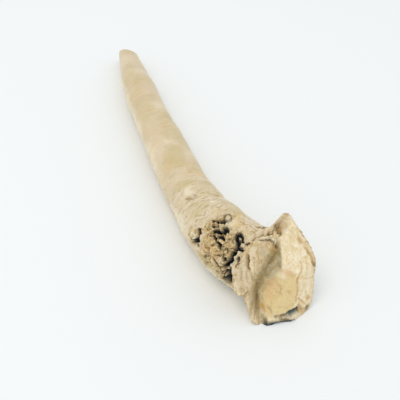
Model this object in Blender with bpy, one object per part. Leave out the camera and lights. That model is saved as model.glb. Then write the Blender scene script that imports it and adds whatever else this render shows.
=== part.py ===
"""A horseradish root as sold: crown trimmed by knife, tail cut short, skin left on, lying on a table.

It grew as one piece, so it is one solid. The numbers are in millimetres and the mesh is in metres.
The crown lies towards -Y and the tail towards +Y, +Z is up, and the table is z = 0.
"""

import bmesh
import bpy
import numpy as np
from mathutils import Matrix, Vector

MM = 0.001
SEED = 11

# Centreline from the tail to the middle of the crown: x, y, radius of the skin, and how far the
# underside would clear the table. Where the clearance is negative the root rests on a flat spot.
STATIONS = (
    (11.4, 184.0, 6.6, 1.5),
    (8.0, 165.0, 9.2, -0.5),
    (1.6, 127.0, 12.3, 1.0),
    (-2.3, 95.8, 12.9, 1.8),
    (-5.0, 65.9, 13.5, 1.5),
    (-7.4, 37.7, 14.3, 0.6),
    (-9.4, 11.2, 15.3, -0.4),
    (-10.4, -15.1, 16.6, -0.6),
    (-9.9, -35.1, 18.1, 0.8),
    (-8.3, -48.8, 19.5, 1.2),
    (-5.9, -63.0, 21.0, 0.6),
    (-1.3, -75.2, 21.5, 0.2),
    (3.0, -84.0, 22.2, -0.5),
)
CROWN_HEADING = Vector((0.32, -0.95, 0.0)).normalized()
# The rings turn to the crown's heading over this length before its middle.
TURN_REACH = 25.0
CROWN_RADII = ((0.0, 22.2), (12.0, 22.4), (24.0, 21.6), (34.0, 20.0), (44.0, 17.0))
TAIL_RADII = ((0.0, 6.6), (4.0, 6.0), (9.0, 4.5))

# Mesh: rings along the root, points round each ring, rows over the crown and the tail end.
BODY_GAP = 1.7
NECK_GAP = 1.1
NECK_START = 175.0
RING_POINTS = 84
CROWN_ROWS = 40
TAIL_ROWS = 7
KEEP_TRIANGLES = 0.29

# Knife cuts: a point on each face and the way the face looks.
CORE_CUT = ((9.0, -98.8, 29.7), (-0.25, -0.84, 0.48))
HIGH_CUT = ((9.0, -98.8, 29.7), (-0.06, -0.76, 0.64))
SIDE_CUT = ((16.8, -104.8, 23.2), (0.22, -0.91, 0.34))
TAIL_CUT = ((10.5, 175.0, 14.5), (0.57, 0.71, 0.42))
TABLE = ((0.0, 0.0, 0.0), (0.0, 0.0, -1.0))

# The split beside the core: the two facets of its outer side, and the facets of the core facing them.
SPLIT_SIDES = (
    ((-6.5, -84.0, 42.3), (0.05, -0.91, 0.42)),
    ((-13.2, -96.4, 16.1), (0.10, -0.77, 0.63)),
)
SPLIT_WALLS = (
    ("upper", (11.7, -89.4, 41.2), (-0.71, -0.45, 0.54)),
    ("lower", (-6.6, -102.5, 15.1), (-0.90, 0.11, 0.43)),
)

# The spur and the rim of the high cut: angle round the crown, how far the skin stands out there,
# and how far past the middle of the crown it does so.
RIM = (
    (12.0, 0.0, 1.0),
    (20.0, 3.0, 0.5),
    (24.0, 8.0, 0.0),
    (28.0, 16.0, 0.0),
    (30.5, 15.5, 1.5),
    (33.5, 12.5, 3.5),
    (38.0, 9.8, 7.0),
    (49.0, 5.8, 12.3),
    (62.5, 3.0, 17.9),
    (75.0, 1.6, 21.5),
    (100.0, 0.0, 24.0),
)
RIM_RISE = 6.0
WEDGE_BLOCK = 120.0

# The middle of the table under the root, which becomes the origin.
MIDDLE = (1.25, 34.79, 0.0)

# Lumps and hollows of the crown: how far past its middle, angle, reach along and round, height.
LUMPS = (
    (21.0, -127.0, 18.0, 38.0, 9.5),
    (3.0, -74.0, 9.0, 48.0, 4.0),
    (30.0, 105.0, 20.0, 60.0, -3.0),
    (27.0, 160.0, 12.0, 30.0, 1.5),
)

# Grooves and holes in the skin of the neck. A place is how far along from the tail, and the angle
# round the root from its top, positive to the right when the crown is seen from the front.
GROOVES = (
    # width, depth, places
    (2.6, 4.2, ((259.0, -19.0), (259.5, -29.0), (261.5, -41.0), (261.0, -58.0), (259.5, -70.0), (256.0, -73.0))),
    (1.9, 2.8, ((259.5, -29.0), (262.8, -31.0), (265.3, -31.0))),
    (3.6, 4.5, ((262.8, -65.0), (264.8, -72.0), (266.0, -80.0), (264.5, -92.0), (262.0, -112.0))),
    (1.7, 2.2, ((258.5, -19.0), (255.0, -15.0), (254.0, -8.0), (256.5, -6.0), (259.0, -12.0))),
    (2.0, 2.4, ((233.5, -52.0), (236.8, -69.0), (237.6, -85.0))),
    (2.8, 3.2, ((241.0, -10.0), (243.0, -15.0))),
    (2.6, 3.0, ((245.5, -17.0), (247.5, -24.0), (247.5, -31.0))),
    (2.0, 1.8, ((240.0, -27.0), (240.0, -30.0))),
    (2.2, 2.2, ((245.7, -42.0), (250.0, -38.0))),
    (2.2, 2.4, ((250.0, -47.0), (252.0, -50.0))),
    (2.4, 2.8, ((255.8, -57.0), (257.5, -63.0))),
)
WARTS = (
    # place, reach, height
    (231.0, -79.0, 5.5, 1.6),
    (256.5, -12.0, 2.6, 1.0),
    (252.0, -62.0, 6.0, 0.9),
    (243.5, -33.0, 5.0, 0.8),
)
# The skin around the holes has rotted and sunk: place, reach along, reach round, depth.
SUNK_PATCH = (249.0, -38.0, 17.0, 44.0, 0.8)
# Partial rings that wrinkle the skin: how many, and their limits.
WRINKLES = 46
WRINKLE_WIDTHS = (2.0, 3.4)
WRINKLE_DEPTHS = (0.25, 0.7)
WRINKLE_REACHES = (25.0, 80.0)


def through(knots, values, at):
    """Smooth curve through the values at the knots, read at the places in at (cubic Hermite)."""
    knots = np.asarray(knots, float)
    values = np.asarray(values, float)
    slopes = np.gradient(values, knots, axis=0)
    left = np.clip(np.searchsorted(knots, at) - 1, 0, len(knots) - 2)
    span = knots[left + 1] - knots[left]
    t = np.clip((at - knots[left]) / span, 0.0, 1.0)
    if values.ndim == 2:
        t, span = t[..., None], span[..., None]
    return (
        (2 * t**3 - 3 * t**2 + 1) * values[left]
        + (t**3 - 2 * t**2 + t) * span * slopes[left]
        + (3 * t**2 - 2 * t**3) * values[left + 1]
        + (t**3 - t**2) * span * slopes[left + 1]
    )


TABLE_OF_STATIONS = np.array(STATIONS)
CENTRES = np.column_stack(
    (TABLE_OF_STATIONS[:, 0], TABLE_OF_STATIONS[:, 1], TABLE_OF_STATIONS[:, 2] + TABLE_OF_STATIONS[:, 3])
)
RUN = np.concatenate(([0.0], np.cumsum(np.linalg.norm(np.diff(CENTRES[:, :2], axis=0), axis=1))))
LENGTH = RUN[-1]


def skin_radius(along, round_):
    """Distance of the skin from the centreline, at a place along it (0 at the tail) and round it."""
    knots = np.concatenate((-np.array(TAIL_RADII)[:0:-1, 0], RUN, LENGTH + np.array(CROWN_RADII)[1:, 0]))
    radii = np.concatenate(
        (np.array(TAIL_RADII)[:0:-1, 1], TABLE_OF_STATIONS[:, 2], np.array(CROWN_RADII)[1:, 1])
    )
    return through(knots, radii, along)


def spot(along, round_, where, angle, long_reach, round_reach):
    """Distance from a place on the skin, as a share of its reach along and round (in degrees)."""
    return np.hypot((along - where) / long_reach, turned(round_, angle) / round_reach)


def ease(t):
    """Rises smoothly from 0 to 1 as t goes from 0 to 1."""
    t = np.clip(t, 0.0, 1.0)
    return t * t * (3.0 - 2.0 * t)


def rim_flare(along, round_):
    """The skin stands out towards the rim of the high cut, most at the spur."""
    angles, height, place = np.array(RIM).T
    turn = (np.degrees(round_) + 180.0) % 360.0 - 180.0
    out = np.interp(turn, angles, height, left=0.0, right=0.0)
    edge = LENGTH + np.interp(turn, angles, place)
    return out * ease((along - edge + RIM_RISE) / RIM_RISE)


def turned(round_, angle):
    """Degrees round the root from an angle, from -180 to 180."""
    return (np.degrees(round_) - angle + 180.0) % 360.0 - 180.0


def from_track(along, round_, places):
    """Distance over the skin from a line through places, in millimetres."""
    wide = np.radians(1.0) * skin_radius(along, round_)
    nearest = np.full(np.shape(along), np.inf)
    for (a0, r0), (a1, r1) in zip(places, places[1:]):
        x, y = along - a0, turned(round_, r0) * wide
        dx, dy = a1 - a0, (r1 - r0) * wide
        t = np.clip((x * dx + y * dy) / (dx * dx + dy * dy), 0.0, 1.0)
        nearest = np.minimum(nearest, np.hypot(x - t * dx, y - t * dy))
    return nearest


def wrinkles(along, round_):
    """Shallow grooves part of the way round the root, more of them near the crown."""
    rng = np.random.default_rng(SEED)
    total = np.zeros(np.shape(along))
    for _ in range(WRINKLES):
        place = LENGTH * rng.uniform(0.02, 0.93) ** 0.75
        angle = rng.uniform(-180.0, 180.0)
        width = rng.uniform(*WRINKLE_WIDTHS)
        depth = rng.uniform(*WRINKLE_DEPTHS)
        reach = rng.uniform(*WRINKLE_REACHES)
        slant = rng.uniform(-0.06, 0.06)
        turn = turned(round_, angle)
        across = (along - place - slant * turn) / width
        total -= depth * np.exp(-(across**2)) * ease(1.0 - np.abs(turn) / reach)
    return total


def swell(along, round_):
    """Slow lumps, so that the root is nowhere quite round."""
    return (
        0.035 * np.cos(2.0 * round_ + 0.021 * along + 0.6)
        + 0.020 * np.cos(3.0 * round_ - 0.034 * along + 2.1)
        + 0.018 * np.sin(0.085 * along + 1.3 + np.cos(round_))
        + 0.012 * np.sin(0.19 * along + 2.0 * np.sin(round_ + 1.0))
    )


def neck_marks(along, round_):
    """The rotten patch of the neck: it is sunk, with warts, holes and cracks in it."""
    place, angle, long_reach, round_reach, depth = SUNK_PATCH
    total = -depth * ease(1.5 * (1.0 - spot(along, round_, place, angle, long_reach, round_reach)))
    for place, angle, reach, height in WARTS:
        total += height * ease(1.0 - from_track(along, round_, ((place, angle), (place + 0.1, angle))) / reach)
    deepest = np.zeros(np.shape(along))
    for width, depth, places in GROOVES:
        deepest = np.maximum(deepest, depth * ease(1.0 - from_track(along, round_, places) / width))
    return total - deepest


def relief(along, round_):
    """What stands out of the plain skin, in millimetres."""
    lumps = sum(
        height * ease(1.0 - spot(along, round_, LENGTH + past, angle, long_reach, round_reach))
        for past, angle, long_reach, round_reach, height in LUMPS
    )
    return lumps + rim_flare(along, round_) + neck_marks(along, round_) + wrinkles(along, round_)


def skin(along, round_):
    return skin_radius(along, round_) * (1.0 + swell(along, round_)) + relief(along, round_)


def directions(heading):
    """The unit vectors across a heading: to its side and up."""
    side = np.cross((0.0, 0.0, 1.0), heading)
    side /= np.linalg.norm(side, axis=-1, keepdims=True)
    return side, np.cross(heading, side)


def ring_rows():
    """Rows of points from the tail to the crown."""
    turn = np.linspace(0.0, 2 * np.pi, RING_POINTS, endpoint=False)
    along = np.concatenate(
        (
            np.linspace(0.0, NECK_START, int(NECK_START / BODY_GAP), endpoint=False),
            np.linspace(NECK_START, LENGTH, int((LENGTH - NECK_START) / NECK_GAP)),
        )
    )
    centre = through(RUN, CENTRES, along)
    heading = np.gradient(centre, along, axis=0)
    heading[:, 2] = 0.0
    heading /= np.linalg.norm(heading, axis=1, keepdims=True)
    turning = ease((along - LENGTH + TURN_REACH) / TURN_REACH)[:, None]
    heading += turning * (np.array(CROWN_HEADING) - heading)
    heading /= np.linalg.norm(heading, axis=1, keepdims=True)
    side, up = directions(heading)
    a, t = np.meshgrid(along, turn, indexing="ij")
    r = skin(a, t)[..., None]
    body = centre[:, None] + r * (np.cos(t)[..., None] * up[:, None] + np.sin(t)[..., None] * side[:, None])
    crown = end_rows(centre[-1], heading[-1], LENGTH, 1.0, CROWN_ROWS, turn, 60.0)
    tail = end_rows(centre[0], heading[0], 0.0, -1.0, TAIL_ROWS, turn, 12.0)
    return np.concatenate((tail[::-1], body, crown))


def end_rows(centre, heading, start, sign, rows, turn, furthest):
    """Rows over one end: rays fan from square to the root to nearly straight out, and meet the skin."""
    tilt = np.radians(np.linspace(90.0, 0.0, rows + 1)[1:-1])
    f, t = np.meshgrid(tilt, turn, indexing="ij")
    side, up = directions(heading)
    reach = np.full_like(f, 10.0)
    for _ in range(30):
        wanted = skin(start + sign * reach * np.cos(f), t) / np.sin(f)
        reach = np.minimum(0.5 * (reach + wanted), furthest)
    across = np.cos(t)[..., None] * up + np.sin(t)[..., None] * side
    ray = np.sin(f)[..., None] * across + sign * np.cos(f)[..., None] * heading
    return centre + reach[..., None] * ray


def mesh_of(rows):
    """One closed mesh from the rows, with a point at each end."""
    mesh = bmesh.new()
    rings = [[mesh.verts.new(Vector(p) * MM) for p in row] for row in rows]
    for lower, upper in zip(rings, rings[1:]):
        for k in range(RING_POINTS):
            n = (k + 1) % RING_POINTS
            mesh.faces.new((lower[k], upper[k], upper[n], lower[n]))
    for ring, flip in ((rings[0], False), (rings[-1], True)):
        pole = mesh.verts.new(sum((v.co for v in ring), Vector()) / RING_POINTS)
        for k in range(RING_POINTS):
            pair = (ring[k], ring[(k + 1) % RING_POINTS])
            mesh.faces.new((pole, *reversed(pair)) if not flip else (pole, *pair))
    bmesh.ops.recalc_face_normals(mesh, faces=mesh.faces)
    return mesh


def slice_off(mesh, point, looks):
    """Cuts the mesh by a plane, drops what lies beyond it and closes the cut."""
    bmesh.ops.bisect_plane(
        mesh,
        geom=mesh.verts[:] + mesh.edges[:] + mesh.faces[:],
        dist=1e-7,
        plane_co=Vector(point) * MM,
        plane_no=Vector(looks).normalized(),
        clear_outer=True,
    )
    open_edges = [e for e in mesh.edges if e.is_boundary]
    bmesh.ops.holes_fill(mesh, edges=open_edges, sides=0)


def object_of(mesh, name):
    """Puts the mesh into a new object in the scene."""
    data = bpy.data.meshes.new(name)
    mesh.to_mesh(data)
    mesh.free()
    made = bpy.data.objects.new(name, data)
    bpy.context.scene.collection.objects.link(made)
    return made


def wedge(name, wall):
    """A block that fills the space in front of a wall and of both sides of the split, to cut it."""
    mesh = bmesh.new()
    bmesh.ops.create_cube(mesh, size=WEDGE_BLOCK * MM)
    bmesh.ops.translate(mesh, verts=mesh.verts, vec=Vector(wall[0]) * MM)
    for point, looks in (wall, *SPLIT_SIDES):
        slice_off(mesh, point, [-x for x in looks])
    cutter = object_of(mesh, name)
    cutter.hide_render = True
    cutter.display_type = "WIRE"
    return cutter


def skin_material():
    made = bpy.data.materials.new("horseradish_skin")
    made.use_nodes = True
    shader = made.node_tree.nodes["Principled BSDF"]
    shader.inputs["Base Color"].default_value = (0.69, 0.58, 0.38, 1.0)
    shader.inputs["Roughness"].default_value = 0.75
    shader.inputs["Metallic"].default_value = 0.0
    return made


def with_fewer_faces(mesh, keep):
    """The same closed mesh with a share of its triangles, fewest where the skin is smooth."""
    full = object_of(mesh, "full_skin")
    full.modifiers.new("fewer faces", "DECIMATE").ratio = keep
    seen = full.evaluated_get(bpy.context.evaluated_depsgraph_get())
    lighter = bmesh.new()
    lighter.from_mesh(seen.to_mesh())
    bpy.data.objects.remove(full, do_unlink=True)
    return lighter


def build():
    for old in list(bpy.data.objects):
        bpy.data.objects.remove(old, do_unlink=True)
    mesh = mesh_of(ring_rows())
    bmesh.ops.triangulate(mesh, faces=mesh.faces)
    mesh = with_fewer_faces(mesh, KEEP_TRIANGLES)
    for point, looks in (CORE_CUT, HIGH_CUT, SIDE_CUT, TAIL_CUT, TABLE):
        slice_off(mesh, point, looks)
    bmesh.ops.recalc_face_normals(mesh, faces=mesh.faces)
    bmesh.ops.triangulate(mesh, faces=mesh.faces)
    root = object_of(mesh, "root")
    root.data.materials.append(skin_material())
    cutters = [wedge("cutter_" + name, (point, looks)) for name, point, looks in SPLIT_WALLS]
    for made in (root, *cutters):
        made.data.transform(Matrix.Translation(Vector(MIDDLE) * -MM))
    for cutter in cutters:
        cut = root.modifiers.new("split", "BOOLEAN")
        cut.object = cutter
        cut.operation = "DIFFERENCE"
        cut.solver = "EXACT"
    for face in root.data.polygons:
        face.use_smooth = True


build()
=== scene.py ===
"""A horseradish root lying on a pale table, seen from in front of its trimmed crown.

The shapes are worked out in millimetres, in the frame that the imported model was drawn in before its
middle was moved to the origin.
"""

import bpy
import numpy as np
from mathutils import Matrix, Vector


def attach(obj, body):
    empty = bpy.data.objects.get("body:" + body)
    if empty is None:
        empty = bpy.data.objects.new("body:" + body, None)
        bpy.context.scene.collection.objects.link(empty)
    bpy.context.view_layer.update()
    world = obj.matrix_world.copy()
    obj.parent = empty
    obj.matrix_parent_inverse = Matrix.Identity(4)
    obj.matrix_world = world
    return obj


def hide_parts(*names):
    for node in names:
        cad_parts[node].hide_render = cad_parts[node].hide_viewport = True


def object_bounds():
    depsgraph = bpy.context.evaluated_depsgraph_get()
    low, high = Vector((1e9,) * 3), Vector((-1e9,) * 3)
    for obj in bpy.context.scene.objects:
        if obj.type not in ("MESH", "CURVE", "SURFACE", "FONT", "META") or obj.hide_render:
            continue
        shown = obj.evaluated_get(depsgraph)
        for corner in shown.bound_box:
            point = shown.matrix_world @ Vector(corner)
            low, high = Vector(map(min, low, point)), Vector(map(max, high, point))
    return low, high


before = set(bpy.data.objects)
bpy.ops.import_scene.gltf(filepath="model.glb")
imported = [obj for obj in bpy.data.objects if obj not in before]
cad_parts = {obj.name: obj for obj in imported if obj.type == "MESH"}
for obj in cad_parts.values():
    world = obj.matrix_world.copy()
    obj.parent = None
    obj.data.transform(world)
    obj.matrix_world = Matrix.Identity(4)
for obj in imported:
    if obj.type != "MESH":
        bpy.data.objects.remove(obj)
cad_box = [np.array(corner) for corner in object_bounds()]


# Camera. The root is seen half from above, from in front of the crown, and its tail runs off to the
# upper left. The lens is a short tele, as for a packshot of something small.
CAMERA_PLACE = (-0.13405, -0.33305, 0.33809)
CAMERA_TURN = np.radians((44.0, 0.0, -24.0))
LENS = 60.0
SENSOR = 36.0

eye = bpy.data.cameras.new("camera")
eye.lens = LENS
eye.sensor_width = SENSOR
camera = bpy.data.objects.new("camera", eye)
camera.location = CAMERA_PLACE
camera.rotation_euler = CAMERA_TURN
bpy.context.scene.collection.objects.link(camera)
bpy.context.scene.camera = camera


# Root. A horseradish root as dug: a tapering taproot in corky buff skin, wrinkled across, with a
# rotten patch on its neck. The crown is trimmed with a few knife strokes, one side of it has split off
# beside the woody core, and the tail is cut off short. It grew as one piece, so it is one closed mesh.
MM = 0.001
SEED = 11
MIDDLE = np.array((1.25, 34.79, 0.0))

# Centreline from the tail to the middle of the crown: x, y, radius of the skin, lift off the table.
STATIONS = np.array(
    (
        (11.4, 184.0, 6.6, 1.5),
        (8.0, 165.0, 9.2, -0.5),
        (1.6, 127.0, 12.3, 1.0),
        (-2.3, 95.8, 12.9, 1.8),
        (-5.0, 65.9, 13.5, 1.5),
        (-7.4, 37.7, 14.3, 0.6),
        (-9.4, 11.2, 15.3, -0.4),
        (-10.4, -15.1, 16.6, -0.6),
        (-9.9, -35.1, 18.1, 0.8),
        (-8.3, -48.8, 19.5, 1.2),
        (-5.9, -63.0, 21.0, 0.6),
        (-1.3, -75.2, 21.5, 0.2),
        (3.0, -84.0, 22.2, -0.5),
    )
)
CROWN_HEADING = np.array((0.32, -0.95, 0.0)) / np.hypot(0.32, 0.95)
CROWN_RADII = np.array(((0.0, 22.2), (12.0, 22.4), (24.0, 21.6), (34.0, 20.0), (44.0, 17.0)))
TAIL_RADII = np.array(((0.0, 6.6), (4.0, 6.0), (9.0, 4.5)))

# Knife cuts: a point on each face and the way the face looks.
CORE_CUT = ((9.0, -98.8, 29.7), (-0.25, -0.84, 0.48))
HIGH_CUT = ((9.0, -98.8, 29.7), (-0.06, -0.76, 0.64))
SIDE_CUT = ((16.8, -104.8, 23.2), (0.22, -0.91, 0.34))
TAIL_CUT = ((10.5, 175.0, 14.5), (0.57, 0.71, 0.42))
# The split beside the core: the facets of its outer side, and the facets of the core facing them.
SPLIT_SIDES = (((-6.5, -84.0, 42.3), (0.05, -0.91, 0.42)), ((-13.2, -96.4, 16.1), (0.10, -0.77, 0.63)))
SPLIT_WALLS = (((11.7, -89.4, 41.2), (-0.71, -0.45, 0.54)), ((-6.6, -102.5, 15.1), (-0.90, 0.11, 0.43)))
SPLIT_FILLET = 6.0
FARTHEST = 90.0
LEAST_STEEP = 0.02

# The spur and the rim of the high cut: angle round the crown, how far out, how far past the middle.
RIM = np.array(
    (
        (12.0, 0.0, 1.0),
        (20.0, 3.0, 0.5),
        (24.0, 6.6, 0.0),
        (28.0, 16.0, 0.0),
        (30.5, 15.5, 1.5),
        (33.5, 12.5, 3.5),
        (38.0, 9.8, 7.0),
        (49.0, 5.8, 12.3),
        (62.5, 3.0, 17.9),
        (75.0, 1.6, 21.5),
        (100.0, 0.0, 24.0),
    )
)
RIM_RISE = 6.0
# Lumps and hollows of the crown: how far past its middle, angle, reach along and round, height.
LUMPS = (
    (21.0, -127.0, 18.0, 38.0, 9.5),
    (3.0, -74.0, 9.0, 48.0, 4.0),
    (30.0, 105.0, 20.0, 60.0, -3.0),
    (27.0, 160.0, 12.0, 30.0, 1.5),
)
# Rotten patch: holes and cracks as width, depth and a track of places (how far along from the tail,
# angle round the root from its top), then warts as place, reach and height.
HOLES = (
    (2.2, 6.0, ((242.3, -14.0), (243.0, -11.0))),
    (0.8, 2.5, ((238.6, -23.0), (240.6, -18.0))),
    (0.5, 0.9, ((243.0, -7.0), (246.5, -5.0), (245.0, 4.0), (241.2, 7.0), (240.0, 1.0), (241.8, -6.0))),
    (0.9, 1.8, ((242.4, -29.5), (243.6, -24.8))),
    (1.8, 5.5, ((248.0, -15.5), (248.6, -20.8))),
    (1.2, 5.0, ((248.6, -20.8), (248.5, -23.9), (246.8, -28.6))),
    (0.8, 2.6, ((243.7, -37.9), (244.4, -34.4), (246.4, -28.6))),
    (1.1, 3.2, ((246.1, -42.2), (247.4, -42.9))),
    (1.1, 3.4, ((248.6, -37.0), (251.0, -33.6))),
    (1.5, 3.8, ((250.3, -46.8), (251.6, -47.6))),
    (1.2, 4.5, ((256.4, -13.6), (257.5, -21.8), (260.5, -23.9))),
    (1.0, 3.0, ((258.0, -10.6), (260.7, -15.6), (262.2, -20.7))),
    (1.8, 6.5, ((260.6, -27.1), (261.2, -29.6), (261.3, -41.3), (262.0, -47.0))),
    (2.1, 6.5, ((262.0, -47.0), (261.5, -55.7), (261.0, -69.0), (259.0, -75.0))),
    (1.2, 5.0, ((261.4, -31.0), (262.8, -32.2), (265.6, -29.5))),
    (1.2, 3.4, ((265.8, -20.0), (266.1, -18.0))),
    (1.3, 4.4, ((257.0, -61.8), (257.7, -63.0))),
    (0.9, 2.4, ((255.9, -56.0), (257.3, -57.9))),
    (0.8, 4.0, ((262.9, -64.0), (264.2, -70.0), (266.8, -79.0))),
    (3.7, 6.0, ((263.6, -83.0), (265.6, -92.0), (264.2, -102.0))),
    (1.6, 5.0, ((267.0, -80.0), (268.6, -88.0), (266.6, -98.0), (262.6, -110.0))),
    (0.8, 2.4, ((261.4, -80.0), (260.4, -91.0), (261.0, -104.0))),
    (1.4, 4.0, ((235.0, -56.9), (236.0, -54.8))),
    (1.5, 4.0, ((236.7, -63.5), (238.1, -69.1), (236.0, -77.0), (233.9, -84.3))),
    (1.0, 2.6, ((238.5, -78.5), (238.8, -81.3))),
    (0.8, 1.6, ((266.0, -44.0), (268.0, -50.0), (268.5, -58.0))),
    (0.8, 1.8, ((252.0, -76.0), (256.5, -82.0), (259.5, -90.0))),
)
# Creases in the skin round the patch, as the holes are, but narrow and shallow.
SKIN_CREASES = (
    (0.8, 0.8, ((243.0, -92.0), (252.0, -100.0), (259.0, -108.0))),
    (0.8, 0.8, ((247.0, -100.0), (255.0, -112.0), (261.0, -122.0))),
    (0.8, 0.7, ((239.0, -96.0), (247.0, -112.0), (254.0, -126.0))),
    (0.9, 0.6, ((251.0, 8.0), (257.0, 12.0), (263.0, 10.0))),
    (1.2, 1.2, ((264.0, 24.0), (266.0, 28.0), (264.5, 36.0))),
    (1.2, 1.3, ((269.5, 11.0), (271.3, 15.0), (270.5, 20.0))),
    (1.1, 1.1, ((272.0, 22.0), (274.0, 20.0), (276.5, 21.0))),
    (1.0, 0.9, ((266.5, -8.0), (268.4, 2.0), (268.0, 9.0))),
    (1.0, 0.9, ((261.0, 18.0), (262.6, 30.0), (261.6, 44.0))),
    (0.8, 0.5, ((226.0, -40.0), (229.5, -30.0), (229.0, -18.0))),
    (0.8, 0.5, ((219.0, -10.0), (222.0, 4.0), (221.0, 18.0))),
    (0.9, 0.7, ((208.0, -36.0), (212.0, -24.0), (211.0, -12.0))),
    (1.0, 0.7, ((213.0, 12.0), (216.4, 26.0), (215.0, 42.0))),
)
WARTS = (
    (230.5, -76.0, 6.0, 1.8),
    (256.5, -12.0, 2.4, 1.0),
    (252.0, -62.0, 6.0, 0.9),
    (243.5, -33.0, 5.0, 0.8),
    (243.5, 1.0, 3.4, 0.9),
    (264.0, -44.0, 3.5, 1.0),
    (267.5, 17.0, 3.0, 1.0),
    (267.4, 23.5, 4.4, 2.2),
    (264.0, 27.0, 3.0, 0.8),
)
SUNK_SPOTS = ((249.0, -38.0, 17.0, 44.0, 0.8),)
SPOT_SUDDEN = 1.5
WRINKLES = 46
WRINKLE_WIDTHS = (2.0, 3.4)
WRINKLE_DEPTHS = (0.25, 0.7)
WRINKLE_REACHES = (25.0, 80.0)
WRINKLE_SLANTS = (-0.06, 0.06)


def ease(t):
    """Rises smoothly from 0 to 1 as t does: three times its square less twice its cube."""
    t = np.clip(t, 0.0, 1.0)
    return t * t * (3.0 - 2.0 * t)


def through(knots, values, at):
    """Smooth curve through the values at the knots, read at the places in at (cubic Hermite)."""
    slopes = np.gradient(values, knots, axis=0)
    left = np.clip(np.searchsorted(knots, at) - 1, 0, len(knots) - 2)
    span = knots[left + 1] - knots[left]
    t = np.clip((at - knots[left]) / span, 0.0, 1.0)
    if values.ndim == 2:
        t, span = t[..., None], span[..., None]
    return (
        (2 * t**3 - 3 * t**2 + 1) * values[left]
        + (t**3 - 2 * t**2 + t) * span * slopes[left]
        + (3 * t**2 - 2 * t**3) * values[left + 1]
        + (t**3 - t**2) * span * slopes[left + 1]
    )


CENTRES = np.column_stack((STATIONS[:, 0], STATIONS[:, 1], STATIONS[:, 2] + STATIONS[:, 3]))
RUN = np.concatenate(([0.0], np.cumsum(np.linalg.norm(np.diff(CENTRES[:, :2], axis=0), axis=1))))
LENGTH = RUN[-1]
RADIUS_KNOTS = np.concatenate((-TAIL_RADII[:0:-1, 0], RUN, LENGTH + CROWN_RADII[1:, 0]))
RADII = np.concatenate((TAIL_RADII[:0:-1, 1], STATIONS[:, 2], CROWN_RADII[1:, 1]))


def turned(turn, angle):
    """Degrees round the root from an angle, from -180 to 180."""
    return (np.degrees(turn) - angle + 180.0) % 360.0 - 180.0


def spot(along, turn, where, angle, long_reach, round_reach):
    """Distance from a place on the skin, as a share of its reach along and round (in degrees)."""
    return np.hypot((along - where) / long_reach, turned(turn, angle) / round_reach)


def from_track(along, turn, places):
    """Distance over the skin from a line through places, in millimetres."""
    wide = np.radians(1.0) * through(RADIUS_KNOTS, RADII, along)
    nearest = np.full(np.shape(along), np.inf)
    for (a0, r0), (a1, r1) in zip(places, places[1:]):
        x, y = along - a0, turned(turn, r0) * wide
        dx, dy = a1 - a0, (r1 - r0) * wide
        t = np.clip((x * dx + y * dy) / (dx * dx + dy * dy), 0.0, 1.0)
        nearest = np.minimum(nearest, np.hypot(x - t * dx, y - t * dy))
    return nearest


def wrinkles(along, turn):
    """Shallow grooves part of the way round, each a bell curve across and fading at its two ends."""
    rng = np.random.default_rng(SEED)
    total = np.zeros(np.shape(along))
    for _ in range(WRINKLES):
        place = LENGTH * rng.uniform(0.02, 0.93) ** 0.75
        angle = rng.uniform(-180.0, 180.0)
        width = rng.uniform(*WRINKLE_WIDTHS)
        depth = rng.uniform(*WRINKLE_DEPTHS)
        reach = rng.uniform(*WRINKLE_REACHES)
        slant = rng.uniform(*WRINKLE_SLANTS)
        from_middle = turned(turn, angle)
        away = (along - place - slant * from_middle) / width
        total -= depth * np.exp(-(away**2)) * ease(1.0 - np.abs(from_middle) / reach)
    return total


def plain_skin(along, turn):
    """Distance of the skin from the centreline: the radius, swelled by slow waves, with the crown's
    lumps, the rim that stands out towards the spur, and the wrinkles."""
    swell = (
        0.035 * np.cos(2.0 * turn + 0.021 * along + 0.6)
        + 0.020 * np.cos(3.0 * turn - 0.034 * along + 2.1)
        + 0.018 * np.sin(0.085 * along + 1.3 + np.cos(turn))
        + 0.012 * np.sin(0.19 * along + 2.0 * np.sin(turn + 1.0))
    )
    lumps = sum(
        height * ease(1.0 - spot(along, turn, LENGTH + past, angle, long_reach, round_reach))
        for past, angle, long_reach, round_reach, height in LUMPS
    )
    degrees = turned(turn, 0.0)
    out = np.interp(degrees, RIM[:, 0], RIM[:, 1], left=0.0, right=0.0)
    edge = LENGTH + np.interp(degrees, RIM[:, 0], RIM[:, 2])
    flare = out * ease((along - edge + RIM_RISE) / RIM_RISE)
    radius = through(RADIUS_KNOTS, RADII, along)
    return radius * (1.0 + swell) + lumps + flare + wrinkles(along, turn)


# Grid: rings along the root, closest at the neck, then rays that fan out over the two ends. The points
# round it are closest on its upper left, where the rotten patch is, and the smooth tail keeps half.
ROUND = 288
CLOSEST_TURN = np.radians(-45.0)
CLOSER = 0.30
TAIL_START = 16.0
BODY_END = 186.0
ROT_START = 226.0
BODY_ROWS = 106
SHOULDER_ROWS = 48
NECK_ROWS = 100
CROWN_FAN = np.concatenate((np.linspace(89.4, 40.0, 84), np.linspace(38.8, 1.0, 34)))
TAIL_FAN = np.linspace(86.0, 3.0, 24)
# The longest ray over the crown, which looks forward, and over the tail, which looks back.
FAN_LIMITS = {1.0: 60.0, -1.0: 30.0}
FAN_GUESS = 10.0
FAN_STEPS = 30
# The rings turn to the crown's heading over this length before its middle.
TURN_REACH = 25.0

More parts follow.
